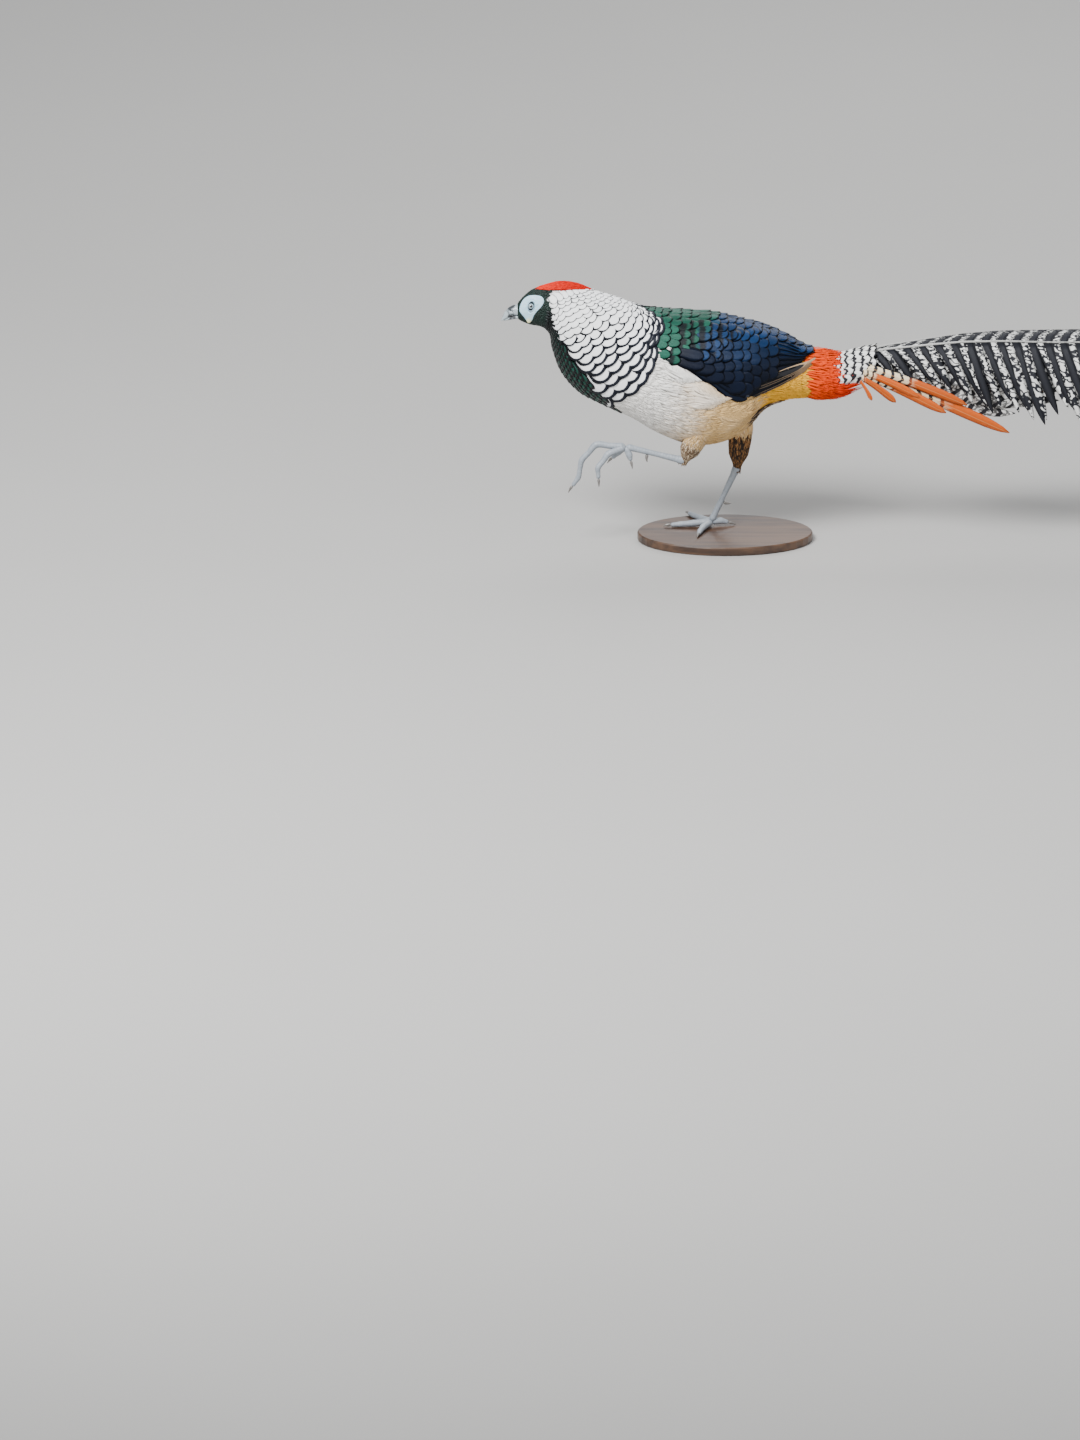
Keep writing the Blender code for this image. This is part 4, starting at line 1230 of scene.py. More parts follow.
@dataclass
class Skin:
    """The one skin from the bill to the root of the tail."""

    body: BodyShape
    rings: int = 260
    around: int = 96

    def depth(self, station: Array, angle: Array) -> Array:
        """Return the skin's height under the coat's surface."""
        head = 1 - np.clip((station - 3.0) / 0.8, 0, 1)
        rear = np.clip((station - 13.6) / 0.6, 0, 1)
        base = -0.0012 * head - 0.0030 * (1 - head)
        base = base * (1 - rear) - 0.0042 * rear
        aside = np.abs(angle)
        upper, lower = (edge_at(WING_SPAN, column, station) for column in (1, 2))
        along = np.minimum((station - 9.3) / 0.5, (17.2 - station) / 0.35)
        across = np.minimum((aside - upper + 9) / 9, (lower + 9 - aside) / 9)
        share = np.clip(np.minimum(along, across), 0, 1)
        return base * (1 - share) - 0.0072 * share

    def build(self) -> None:
        """Build and dress the skin."""
        station = np.linspace(0, SKIN_END, self.rings)[:, None]
        angle = np.linspace(-180, 180, self.around, endpoint=False)[None, :]
        station, angle = np.broadcast_arrays(station, angle)
        points = self.body.point(station, angle, self.depth(station, angle))
        maker = MeshMaker()
        maker.maps["body"] = []
        place = unwrap(station, angle)
        maker.add(points, ring_faces(self.rings, self.around), {
            "body": place, "vane": place, "OFBake": place * (1.05, 0.995),
        })
        nodes = ("head", "neck", "torso", "rump")
        maker.settle("skin", SkinFinish().make(), "belly", nodes)


@dataclass
class Head(Plumage):
    """Bare faces, eyes, bill, cap feathers and crest."""

    eye_radius: float = 0.0052
    opening: float = 0.0042
    lobe: tuple[float, float] = (1.72, 135.0)
    patch: float = 0.06
    hairs: int = 1500

    def build(self) -> None:
        """Build and dress the head."""
        skin = FaceFinish().make()
        for side in Side:
            self.build_face(side, skin)
            self.build_eye(side)
        self.build_bill()
        self.build_cap()
        self.build_crest()

    def build_face(self, side: Side, material: Material) -> None:
        """Build one bare face with its lids and lobe."""
        around, rings = 120, 40
        turn = np.linspace(0, 2 * np.pi, around, endpoint=False)
        edge = face_reach(turn)
        edge = (np.roll(edge, 1) + 2 * edge + np.roll(edge, -1)) / 4
        share = np.linspace(0, 1, rings)[:, None] ** 1.15
        reach = self.opening + (edge[None, :] - self.opening) * share
        station = EYE_AT[0] + reach * np.cos(turn) / HEAD_STATION
        angle = EYE_AT[1] + reach * np.sin(turn) / HEAD_DEGREE
        off = (reach - self.opening) * 1000
        lids = ((0.0010, 0.75, 0.55), (-0.0004, 2.1, 0.45), (0.00035, 3.1, 0.6))
        height = 0.0004 - 0.0013 * np.clip((share - 0.86) / 0.14, 0, 1) ** 2
        for rise, at, wide in lids:
            height = height + rise * np.exp(-((off - at) / wide) ** 2)
        far = np.hypot(
            (station - self.lobe[0]) * HEAD_STATION, (angle - self.lobe[1]) * HEAD_DEGREE
        )
        knob = np.exp(-((far / 0.0042) ** 2))
        folds = np.sin(turn * 9 + off * 0.8) * 0.00012 * np.clip(off / 3, 0, 1)
        height = height + 0.0024 * knob + folds
        points = self.body.point(station, angle * side.value, height)
        sunk = np.minimum(height - 0.0012, -0.0014)
        under = self.body.point(station, angle * side.value, sunk)
        ring = np.arange(around)
        step = (ring + 1) % around
        quads, _ = ring_faces(rings, around)
        shift = rings * around
        rims = [
            np.stack([row + ring, row + step, shift + row + step, shift + row + ring], axis=-1)
            for row in (0, shift - around)
        ]
        near = np.broadcast_to(share, station.shape)
        flat = 0.5 + np.stack([reach * np.cos(turn), reach * np.sin(turn)], axis=-1) / self.patch
        maker = MeshMaker()
        vane = np.stack([near, np.clip(knob * 2.2 - 0.15, 0, 1)], axis=-1)
        maker.add(np.stack([points, under]), [quads, quads + shift, *rims], {
            "vane": np.stack([vane, vane]), "OFBake": np.stack([flat, flat]),
        })
        name = f"bare_face_{side}"
        maker.settle(name, material, "face_skin", (f"face_{side}",))

    def build_eye(self, side: Side) -> None:
        """Build one eye with a bulging cornea."""
        angle = EYE_AT[1] * side.value
        centre = self.body.point(EYE_AT[0], angle, -0.0034)
        outer = self.body.point(EYE_AT[0], angle, 0.004)
        axis = unit(outer - centre)
        bpy.ops.mesh.primitive_uv_sphere_add(
            segments=48, ring_count=32, radius=self.eye_radius, location=(0, 0, 0)
        )
        eye = bpy.context.object
        eye.name = eye.data.name = f"eyeball_{side}"
        for vertex in eye.data.vertices:
            place = np.array(vertex.co)
            forward = float(np.dot(place, axis))
            off = np.linalg.norm(place - axis * forward)
            bulge = max(0.0, 1 - (off / 0.0030) ** 2) * 0.0004 if forward > 0 else 0.0
            vertex.co = centre + place + axis * bulge
        bpy.ops.object.shade_smooth()
        eye.data.uv_layers[0].name = "OFBake"
        finish = EyeFinish(f"eye_{side}", tuple(centre), tuple(axis))
        eye.data.materials.append(finish.make())
        settle(eye, (f"eye_{side}",))

    def build_bill(self) -> None:
        """Build the upper and lower bill with nostrils and the mouth line."""
        horn = HornFinish("horn_bill", (0.36, 0.42, 0.45), (0.035, 0.040, 0.045)).make()
        root_top, root_low = (self.body.point(0.0, angle, 0.0) for angle in (0, 180))
        tip = np.array([-0.3066, 0.0, 0.2975 + STAND_TOP])
        share = np.linspace(0, 1, 44)[:, None]
        turn = np.linspace(0, 2 * np.pi, 48, endpoint=False)[None, :]
        drop = np.interp(
            share, (-0.05, 0.0, 0.3, 0.55, 0.78, 0.93, 1.0), (0, 0.0, 0.05, 0.17, 0.42, 0.72, 0.98)
        )
        base = root_top[2] - 0.0012
        top_z = base - (base - tip[2]) * drop
        mouth = 0.3088 + STAND_TOP - 0.0100 * share**1.7
        top_z = np.maximum(top_z, mouth + 0.0010)
        wide = 0.0080 * (1 - share) ** 0.62 + 0.0006
        middle, tall = (top_z + mouth) / 2, (top_z - mouth) / 2
        x = root_top[0] + 0.0012 + (tip[0] - root_top[0] - 0.0012) * share
        wave = np.cos(turn)
        y = wide * np.sign(np.sin(turn)) * np.abs(np.sin(turn)) ** np.where(wave < 0, 0.45, 1.0)
        z = middle + tall * np.where(wave < 0, -np.abs(wave) ** 0.6 * 0.9 - 0.1, wave * 1.1 - 0.1)
        pit = np.exp(-(((x + 0.2915) / 0.0024) ** 2) - ((z - 0.3148 - STAND_TOP) / 0.0011) ** 2)
        lid = np.exp(-(((x + 0.2912) / 0.0032) ** 2) - ((z - 0.3172 - STAND_TOP) / 0.0012) ** 2)
        y = y - np.sign(y) * (pit * 0.0018 - lid * 0.0006)
        self.add_horn("bill_upper_horn", x, y, z, share, turn, horn, "bill_upper")
        share = np.linspace(0, 1, 36)[:, None]
        x = root_low[0] + 0.0012 + (tip[0] + 0.0034 - root_low[0] - 0.0012) * share
        along = np.clip((root_top[0] - x) / (root_top[0] - tip[0]), 0, 1)
        top_z = 0.3085 + STAND_TOP - 0.0100 * along**1.7
        low_z = 0.3035 + STAND_TOP - 0.0042 * share
        wide = 0.0068 * (1 - share) ** 0.6 + 0.0003
        middle, tall = (top_z + low_z) / 2, np.maximum((top_z - low_z) / 2, 0.0004)
        y = wide * np.sign(np.sin(turn)) * np.abs(np.sin(turn)) ** np.where(wave > 0, 0.45, 1.0)
        z = middle + tall * wave
        self.add_horn("bill_lower_horn", x, y, z, share, turn, horn, "bill_lower")

    def add_horn(
        self, name: str, x: Array, y: Array, z: Array, share: Array, turn: Array,
        material: Material, node: str,
    ) -> None:
        """Make a closed horn shell of a grid of rings."""
        x, y, z, share, turn = np.broadcast_arrays(x, y, z, share, turn)
        uv = np.stack([share, turn / (2 * np.pi)], axis=-1)
        maker = MeshMaker()
        maker.add(
            np.stack([x, y, z], axis=-1), ring_faces(*x.shape), {"vane": uv, "OFBake": uv}
        )
        maker.settle(name, material, "bill", (node,))

    @staticmethod
    def in_cap(tip: float, angle: float) -> bool:
        """Return whether a cap feather stands at a place."""
        under_crest = angle < np.interp(tip, *zip(*CREST_SPAN)) - 6 and tip > 2.4
        under_cape = angle < 96 and tip > front_edge(angle) + 0.25
        return not (under_crest or under_cape) and beyond_face(tip - 0.03, angle) > 0.0003

    def build_cap(self) -> None:
        """Build the small dark feathers round the bare faces."""
        tract = Tract(
            rows=34, start=0.32, pitch=0.115, span=(0, 180), keep=self.in_cap,
            width=lambda t, a: 0.0028 + 0.0006 * t, low=-0.0010, high=-0.0001,
            length=lambda t, a: 0.42 + 0.06 * t, step=0.5, jitter=0.25, seed=21,
        )
        finish = FeatherFinish(
            "dark_cap_feathers", (0.004, 0.016, 0.012), (0.004, 0.016, 0.012),
            (0.002, 0.003, 0.003), lively=0.5, roughness=0.5, gloss=0.3, cloud=0.5,
        )
        self.plant(
            "cap_feathers", "cap", finish.make(), tract, OVAL, 22,
            thickness=0.0002, camber=0.0001, curl=0.0001, tip_noise=0.0001,
        )

    def build_crest(self) -> None:
        """Build the narrow crest of hair-like red feathers."""
        chance = np.random.default_rng(31)
        rows = []
        stations, spans = zip(*CREST_SPAN)
        for _ in range(self.hairs):
            start = 1.9 + 3.0 * chance.random()
            share = chance.random() * 2 - 1
            stop = min(start + 0.7 + 0.6 * chance.random(), 5.6 + 0.25 * chance.random())
            first, last = (np.interp(place, stations, spans) for place in (start, stop))
            lift = 0.0003 + 0.0013 * min(1.0, (start - 1.9) / 1.6) * (1 - share**2)
            rows.append(Quill(
                start, first * share, stop, last * share + (chance.random() - 0.5) * 4, 0.0016,
                -0.0012 + lift * 0.3, lift + 0.0005 * chance.random(), (start - 1.9) / 3,
            ))
        finish = FeatherFinish(
            "red_crest_feathers", (0.66, 0.016, 0.003), (0.58, 0.008, 0.002),
            (0.20, 0.0, 0.0), lively=0.35, roughness=0.5, root_shade=0.2, gloss=0.15, barbs=0.1,
        )
        self.plant(
            "crest_feathers", "crest", finish.make(), rows, HAIR, 32,
            nodes=("crest",), thickness=0.0004, camber=0.0002, tip_noise=0.0002,
        )


@dataclass
class Cape(Plumage):
    """The white cape with dark feather edges, and the dark green breast."""

    rows: int = 18
    step: float = 0.60

    @staticmethod
    def width(row: float, angle: float) -> float:
        """Return the width of a cape feather."""
        wide = float(np.interp(row, (0, 4, 9, 13, 17), (0.036, 0.034, 0.027, 0.020, 0.013)))
        return wide * float(np.interp(
            angle, (0, 30, 70, 110, 140), (0.62, 0.72, 0.95, 1.12, 1.15)
        ))

    def quills(self) -> list[Quill]:
        """Return the places of the cape's feathers, each square to its row."""
        chance = np.random.default_rng(41)
        found = []
        for row in range(self.rows):
            for side in Side:
                angle = 4.0 if row % 2 else 12.0
                while angle < 150:
                    wide = self.width(row, angle)
                    tip = cape_row(row + (chance.random() - 0.5) * 0.30, angle)
                    reach = self.body.radius(tip, angle)
                    pitch = math.degrees(self.step * wide / max(reach, 0.012))
                    if tip > front_edge(angle + min(0.25 * pitch, 8)) + 0.12:
                        found.append(self.place(row, tip, angle, wide, side))
                    angle += pitch * (0.92 + 0.16 * chance.random())
        return found

    def place(self, row: int, tip: float, angle: float, wide: float, side: Side) -> Quill:
        """Return one feather's place, from its tip back along its course."""
        length = float(np.interp(row, (0, 8, 17), (0.040, 0.036, 0.020)))
        slope = (cape_row(row, angle + 2) - cape_row(row, angle - 2)) / 4
        first, second = self.body.grain(np.array(tip), np.array(angle))
        along = first * slope + second
        back = np.cross(along, np.cross(first, second))
        back *= -np.sign(np.dot(back, first)) * length / np.linalg.norm(back)
        run, swing = self.body.unmove(np.array(tip), np.array(angle), back)
        root = max(tip + float(run), 2.6)
        root_angle = max(angle + float(swing), -5.0)
        mark = share_of(1.0 - row / 15 + (angle - 80) / 260)
        return Quill(
            root, side.value * root_angle, tip, side.value * angle, wide,
            -0.0032, 0.0012, mark,
        )

    def build(self) -> None:
        """Build and dress the cape and the breast."""
        finish = FeatherFinish(
            "white_cape_feathers", (0.86, 0.87, 0.88), (0.86, 0.87, 0.88),
            (0.003, 0.005, 0.012), (0.016, 0.21), lively=0.06, roughness=0.6,
            rim_noise=0.10, turn=(0.05, 1.0), gloss=0.25,
        )
        self.plant(
            "cape_feathers", "cape", finish.make(), self.quills(), BROAD, 42,
            BakePlan.CELLS, columns=5, camber=0.0005, curl=0.0002, tip_noise=0.0003,
        )
        self.build_breast()

    def build_breast(self) -> None:
        """Build the dark green scaly feathers of throat and breast."""
        tract = Tract(
            rows=22, start=3.7, pitch=0.235, span=(96, 180),
            keep=lambda t, a: t - 0.55 <= front_edge(a) and t < 8.75,
            width=lambda t, a: float(np.interp(t, (3.5, 5, 8.5), (0.007, 0.010, 0.015))),
            low=-0.0026, high=0.0006, mark=lambda t, a: share_of((t - 4.0) / 3.0),
            step=0.6, jitter=0.06, seed=43,
        )
        finish = FeatherFinish(
            "dark_green_breast_feathers", (0.003, 0.009, 0.009), (0.005, 0.052, 0.036),
            (0.002, 0.003, 0.004), (0.30, 0.30), lively=0.6, roughness=0.42, metallic=0.3,
        )
        self.plant(
            "breast_feathers", "cap", finish.make(), tract, ROUND, 44,
            BakePlan.CELLS, camber=0.0005, curl=0.0004, tip_noise=0.0002,
        )


@dataclass
class Belly(Plumage):
    """The soft white breast and buff belly with the flank lobes."""

    @staticmethod
    def keep(tip: float, angle: float) -> bool:
        """Return whether a belly feather stands at a place."""
        if tip < rear_edge(angle) + 0.05:
            return False
        if tip < 10.9:
            return angle > np.interp(tip, (9.8, 10.2, 10.9), (62, 52, 60))
        _, lower = wing_edges(tip)
        return angle > min(lower - 2, 112)

    @staticmethod
    def lie(tip: float, angle: float) -> float:
        """Return the height of a belly feather's tip, low by the wing and tail."""
        _, lower = wing_edges(tip)
        by_wing = 0.0010 * max(0.0, 1 - max(angle - lower, 0.0) / 8) if tip > 10.9 else 0.0
        return 0.0001 - 0.0010 * (tip > 13.5) - by_wing

    @staticmethod
    def shade(tip: float, angle: float) -> float:
        """Return how buff a belly feather is, from 0 to 1."""
        return share_of((tip - 9.8) / 2.7 + (angle - 120) / 300)

    def build(self) -> None:
        """Build and dress the belly."""
        pale = BELLY_LOOK.make()
        tract = Tract(
            rows=48, start=8.1, pitch=0.128, span=(50, 180),
            keep=lambda t, a: self.keep(t, a) and (a < 138 or t < 13.4), width=0.0072,
            low=lambda t, a: self.lie(t, a) - 0.0014, high=self.lie, length=1.0,
            mark=self.shade, step=0.40, jitter=0.40, seed=51,
        )
        self.plant(
            "belly_feathers", "belly", pale, tract, HAIR, 52,
            thickness=0.0003, camber=0.0001, curl=0.0001, tip_noise=0.00012,
        )
        self.plant(
            "flank_feathers", "belly", pale, self.lobes(), HAIR, 53,
            thickness=0.0003, camber=0.0001, curl=0.0001, tip_noise=0.0001,
        )
        vent = Tract(
            rows=16, start=13.3, pitch=0.11, span=(134, 180),
            keep=lambda t, a: t < 14.9 and a > 138 + (t - 13.3) * 8, width=0.0060,
            low=-0.0036, high=0.0002, length=0.9, mark=lambda t, a: (t * 7.3 + a) % 1,
            step=0.5, jitter=0.4, seed=55,
        )
        mottled = FeatherFinish(
            "mottled_vent_feathers", (0.035, 0.022, 0.016), (0.40, 0.28, 0.17),
            (0.02, 0.015, 0.012), (0.10, 0.10), lively=0.8, roughness=0.8, turn=(0.45, 0.6),
        )
        self.plant(
            "vent_feathers", "belly", mottled.make(), vent, LANCE, 56,
            camber=0.0003, curl=0.0003, tip_noise=0.0005,
        )

    def lobes(self) -> list[Quill]:
        """Return the places of the long flank feathers over the wing's edge."""
        chance = np.random.default_rng(54)
        rows = []
        for side in Side:
            for start, stop, count, spread, mark in (
                ((10.9, 90.0), (12.62, 97.0), 300, (1.1, 16.0), 0.48),
                ((11.9, 112.0), (13.62, 130.0), 300, (1.1, 19.0), 0.85),
                ((10.1, 70.0), (11.5, 80.0), 160, (0.6, 10.0), 0.12),
            ):
                for _ in range(count):
                    along, aside = chance.random(), chance.random() * 2 - 1
                    root = start[0] + (along - 0.5) * spread[0]
                    angle = start[1] + aside * spread[1]
                    tip = stop[0] - abs(aside) * 0.75 - 0.55 * (1 - along)
                    tip_angle = stop[1] + aside * spread[1] * 0.45
                    rows.append(Quill(
                        root, side.value * angle, tip, side.value * tip_angle, 0.0064,
                        -0.0010, 0.0013 - 0.0010 * abs(aside), mark + (along - 0.5) * 0.2,
                    ))
        return rows


@dataclass
class Back(Plumage):
    """The scaled green mantle, turning blue towards the wings' ends."""

    @staticmethod
    def reach(tip: float) -> float:
        """Return how far down the mantle comes at a station."""
        return float(np.interp(
            tip, (9.0, 10.0, 10.4, 11.0, 11.5, 12.0, 12.6, 13.5, 15.0, 16.4),
            (52, 60, 65, 67, 66, 60, 48, 32, 20, 24),
        ))

    @staticmethod
    def blueness(tip: float, angle: float) -> float:
        """Return 0 on the green mantle and 1 on the blue feathers behind it."""
        return share_of((tip + 0.020 * (angle - 4) - 11.4) / 2.0)

    def build(self) -> None:
        """Build and dress the mantle."""
        for name, band, in_zone in (("mantle", 0.0, False), ("barred_shoulder", 0.95, True)):
            tract = Tract(
                rows=20, start=9.15, pitch=0.38, span=(0, 70),
                keep=lambda t, a, zone=in_zone: (
                    a < self.reach(t) and t > rear_edge(a) + 0.10
                    and zone == (10.8 < t + 0.010 * (a - 42) < 13.1 and a > 23)
                ),
                width=lambda t, a: float(np.interp(t, (9, 12, 14), (0.0165, 0.0195, 0.0230))),
                low=-0.0022, high=lambda t, a: 0.0012 + 0.0024 * (t > 11.6), length=1.05,
                mark=self.blueness, step=0.60, jitter=0.13, seed=61,
            )
            finish = FeatherFinish(
                f"green_{name}_feathers", (0.006, 0.062, 0.040), (0.003, 0.020, 0.066),
                (0.001, 0.002, 0.004), (0.09, 0.10), lively=0.5, roughness=0.42, metallic=0.2,
                turn=(0.40, 0.62), rim_noise=0.14, cloud=0.6, root_shade=0.5, gloss=0.16,
                band=band,
            )
            self.plant(
                f"{name}_feathers", "wing", finish.make(), tract,
                ROUND, 62, BakePlan.CELLS, columns=5, thickness=0.0004, camber=0.0003,
                tip_noise=0.0002,
            )


@dataclass
class Wing(Plumage):
    """One folded wing: coverts over secondaries and primaries."""

    side: Side
    stations: tuple[float, ...] = (10.4, 11.0, 11.9, 12.7, 13.8, 14.95, 16.0, 16.6)
    uppers: tuple[float, ...] = (50.0, 40.0, 26.0, 16.0, 12.0, 12.0, 15.0, 22.0)
    lowers: tuple[float, ...] = (66.0, 70.0, 80.0, 98.0, 108.0, 97.0, 64.0, 31.0)

    def course(
        self, share: float, start: float, stop: float, height: float
    ) -> tuple[Array, Array]:
        """Return the path of a flight feather and its directions across.

        Args:
            share: Where it lies between the wing's upper and lower edge.
            start: Station of its root.
            stop: Station of its tip.
            height: Height over the skin.
        """
        along = np.array(FLIGHT)[:, 0]
        place = start + (stop - start) * along
        upper, lower = (
            smooth_through(np.array(self.stations), np.array(edge), place)
            for edge in (self.uppers, self.lowers)
        )
        angle = self.side.value * (upper + (lower - upper) * share)
        sunk = 0.006 * np.clip(1 - along / 0.30, 0, 1)
        path = self.body.point(place, angle, height - sunk)
        first, second = self.body.grain(place, angle)
        out = np.cross(first, second)
        across = np.cross(out, np.gradient(path, axis=0))
        return path, across * self.side.value

    def flights(
        self, name: str, feathers: Sequence[tuple[float, float, float, float]], width: float,
        finish: FeatherFinish, seed: int,
    ) -> None:
        """Build a fan of flight feathers.

        Args:
            name: The piece's name without its side.
            feathers: What course takes for each feather.
            width: Their width.
            finish: Their finish.
            seed: Seed of their chance values.
        """
        coat = Coat(seed)
        spines, sides = zip(*(self.course(*feather) for feather in feathers))
        number = len(feathers)
        coat.blades(
            np.array(spines), np.array(sides), np.full(number, width), FLIGHT,
            np.linspace(0, 1, number), camber=0.045 * self.side.value,
        )
        coat.settle(f"{name}_{self.side}", finish.make(), "wing")

    def coverts(self) -> list[Quill]:
        """Return the places of the coverts."""
        sign = self.side.value
        rows = []
        chance = np.random.default_rng(71)
        for tier in range(11):
            tip = 10.75 + 0.40 * tier
            upper, lower = wing_edges(tip)
            wide = float(np.interp(tip, (11, 13, 14.5), (0.0195, 0.0220, 0.0240)))
            angle = max(upper, Back.reach(tip - 0.2) - 8) + (6 if tier % 2 else 0)
            while angle < lower - 13:
                reach = self.body.radius(tip, angle)
                share = (angle - upper) / max(lower - upper, 1)
                push = (chance.random() - 0.5) * 0.10
                rows.append(Quill(
                    tip - 1.15, sign * (angle - 1.5), tip + push, sign * (angle + 1.0), wide,
                    -0.0006, 0.0036 - 0.0004 * share, share,
                ))
                angle += math.degrees(0.60 * wide / reach)
        return rows

    def build(self) -> None:
        """Build and dress the wing."""
        # Blue at the top of the wing fading to near-black at its lower edge: partly the lower
        # coverts' own darker colour and partly painted light, a lighter top and painted shade on
        # the lower part that faces away from the light.
        covert = FeatherFinish(
            f"blue_covert_feathers_{self.side}", (0.003, 0.021, 0.070), (0.0015, 0.004, 0.013),
            (0.001, 0.002, 0.005), (0.09, 0.07), lively=0.6, roughness=0.42, metallic=0.2,
            turn=(0.10, 0.75), cloud=0.6, rim_noise=0.14, root_shade=0.4, gloss=0.16,
        )
        self.plant(
            f"wing_coverts_{self.side}", "wing", covert.make(), self.coverts(), ROUND, 72,
            BakePlan.CELLS, (f"wing_{self.side}",), columns=5, thickness=0.0004, camber=0.0003,
            tip_noise=0.0002,
        )
        # The secondaries fade likewise from blue at the top to near-black below: partly their own
        # darker colour and partly painted light, a lighter top and painted shade on the lower
        # part.
        second = FeatherFinish(
            f"blue_secondary_feathers_{self.side}", (0.003, 0.018, 0.060), (0.0015, 0.003, 0.009),
            (0.004, 0.006, 0.010), (0.05, 0.05), lively=0.3, roughness=0.42, metallic=0.2,
            shaft=0.5, turn=(0.1, 0.7), gloss=0.14,
        )
        self.flights("secondaries", [
            (0.06 + 0.105 * i, 12.2, 16.45 - 0.10 * i, 0.0018 - 0.00016 * i) for i in range(9)
        ], 0.0190, second, 73)
        outer = FeatherFinish(
            f"black_outer_coverts_{self.side}", (0.0015, 0.005, 0.016), (0.001, 0.003, 0.008),
            (0.003, 0.004, 0.008), (0.06, 0.06), lively=0.4, roughness=0.45, gloss=0.14,
        )
        self.flights("outer_coverts", [
            (0.99 - 0.07 * i, 10.5 + 0.10 * i, 13.2 + 0.28 * i, 0.0012 + 0.00025 * i)
            for i in range(5)
        ], 0.0130, outer, 75)
        first = FeatherFinish(
            f"buff_edged_primaries_{self.side}", (0.008, 0.008, 0.010), (0.006, 0.006, 0.008),
            (0.36, 0.25, 0.15), (0.12, 0.12), lively=0.3, roughness=0.5, gloss=0.3,
        )
        self.flights("primaries", [
            (0.86 + 0.035 * i, 12.6, 16.15 + 0.09 * i, 0.0011 - 0.00025 * i) for i in range(5)
        ], 0.0110, first, 74)


@dataclass
class Rump(Plumage):
    """The golden rump, the red collar and the short barred tail coverts."""

    @staticmethod
    def keep(tip: float, angle: float) -> bool:
        """Return whether a rump feather shows at a place."""
        upper, lower = wing_edges(min(tip, 16.8))
        if tip < 14.5 and angle > 140:
            return False
        return tip > 16.7 or angle > lower + 1 or angle < upper - 3

    def build(self) -> None:
        """Build and dress the rump."""
        golden = Tract(
            rows=52, start=14.1, pitch=0.075, span=(0, 180),
            keep=lambda t, a: self.keep(t, a) and (a > 24 or t > 15.6), width=0.0036,
            low=-0.0044, high=-0.0006,
            mark=lambda t, a: share_of((t - 15.6) / 2.0 + (60 - a) / 200),
            step=0.70, jitter=0.55, flow=4.0, seed=81,
        )
        finish = FeatherFinish(
            "golden_rump_feathers", (0.82, 0.43, 0.035), (0.76, 0.070, 0.003),
            (0.5, 0.1, 0.0), lively=0.25, roughness=0.8, root_shade=0.1, turn=(0.35, 0.7),
            gloss=0.1, barbs=0.1,
        )
        self.plant(
            "rump_feathers", "rump", finish.make(), golden, HAIR, 82,
            thickness=0.0002, camber=0.0002, curl=0.0002, tip_noise=0.0004,
        )
        red = Tract(
            rows=20, start=16.9, pitch=0.085, span=(0, 180),
            keep=lambda t, a: t < 18.0 + (a > 75) * 0.45, width=0.0040, low=-0.0034,
            high=0.0022, mark=lambda t, a: share_of((t - 17.0) / 1.8),
            jitter=0.5, flow=4.0, seed=83,
        )
        finish = FeatherFinish(
            "red_rump_feathers", (0.76, 0.060, 0.003), (0.66, 0.022, 0.002),
            (0.3, 0.0, 0.0), lively=0.3, roughness=0.75, root_shade=0.15, gloss=0.1, barbs=0.1,
        )
        self.plant(
            "red_rump_feathers", "rump", finish.make(), red, HAIR, 84,
            thickness=0.0003, camber=0.0002, curl=0.0008, tip_noise=0.0006,
        )
        barred = Tract(
            rows=4, start=18.30, pitch=0.22, span=(8, 100), keep=lambda t, a: True,
            width=0.0150, low=-0.0020, high=0.0034, length=1.25, mark=0.5, jitter=0.1,
            flow=2.0, seed=85,
        )
        finish = BarredFinish("short_barred_coverts", 0.20, 0.42, 0.5, maze=0.0)
        self.plant(
            "short_tail_coverts", "rump", finish.make(), barred,
            ROUND, 86, BakePlan.CELLS, columns=5, thickness=0.0006, camber=0.0008, curl=0.0006,
            tip_noise=0.0006,
        )


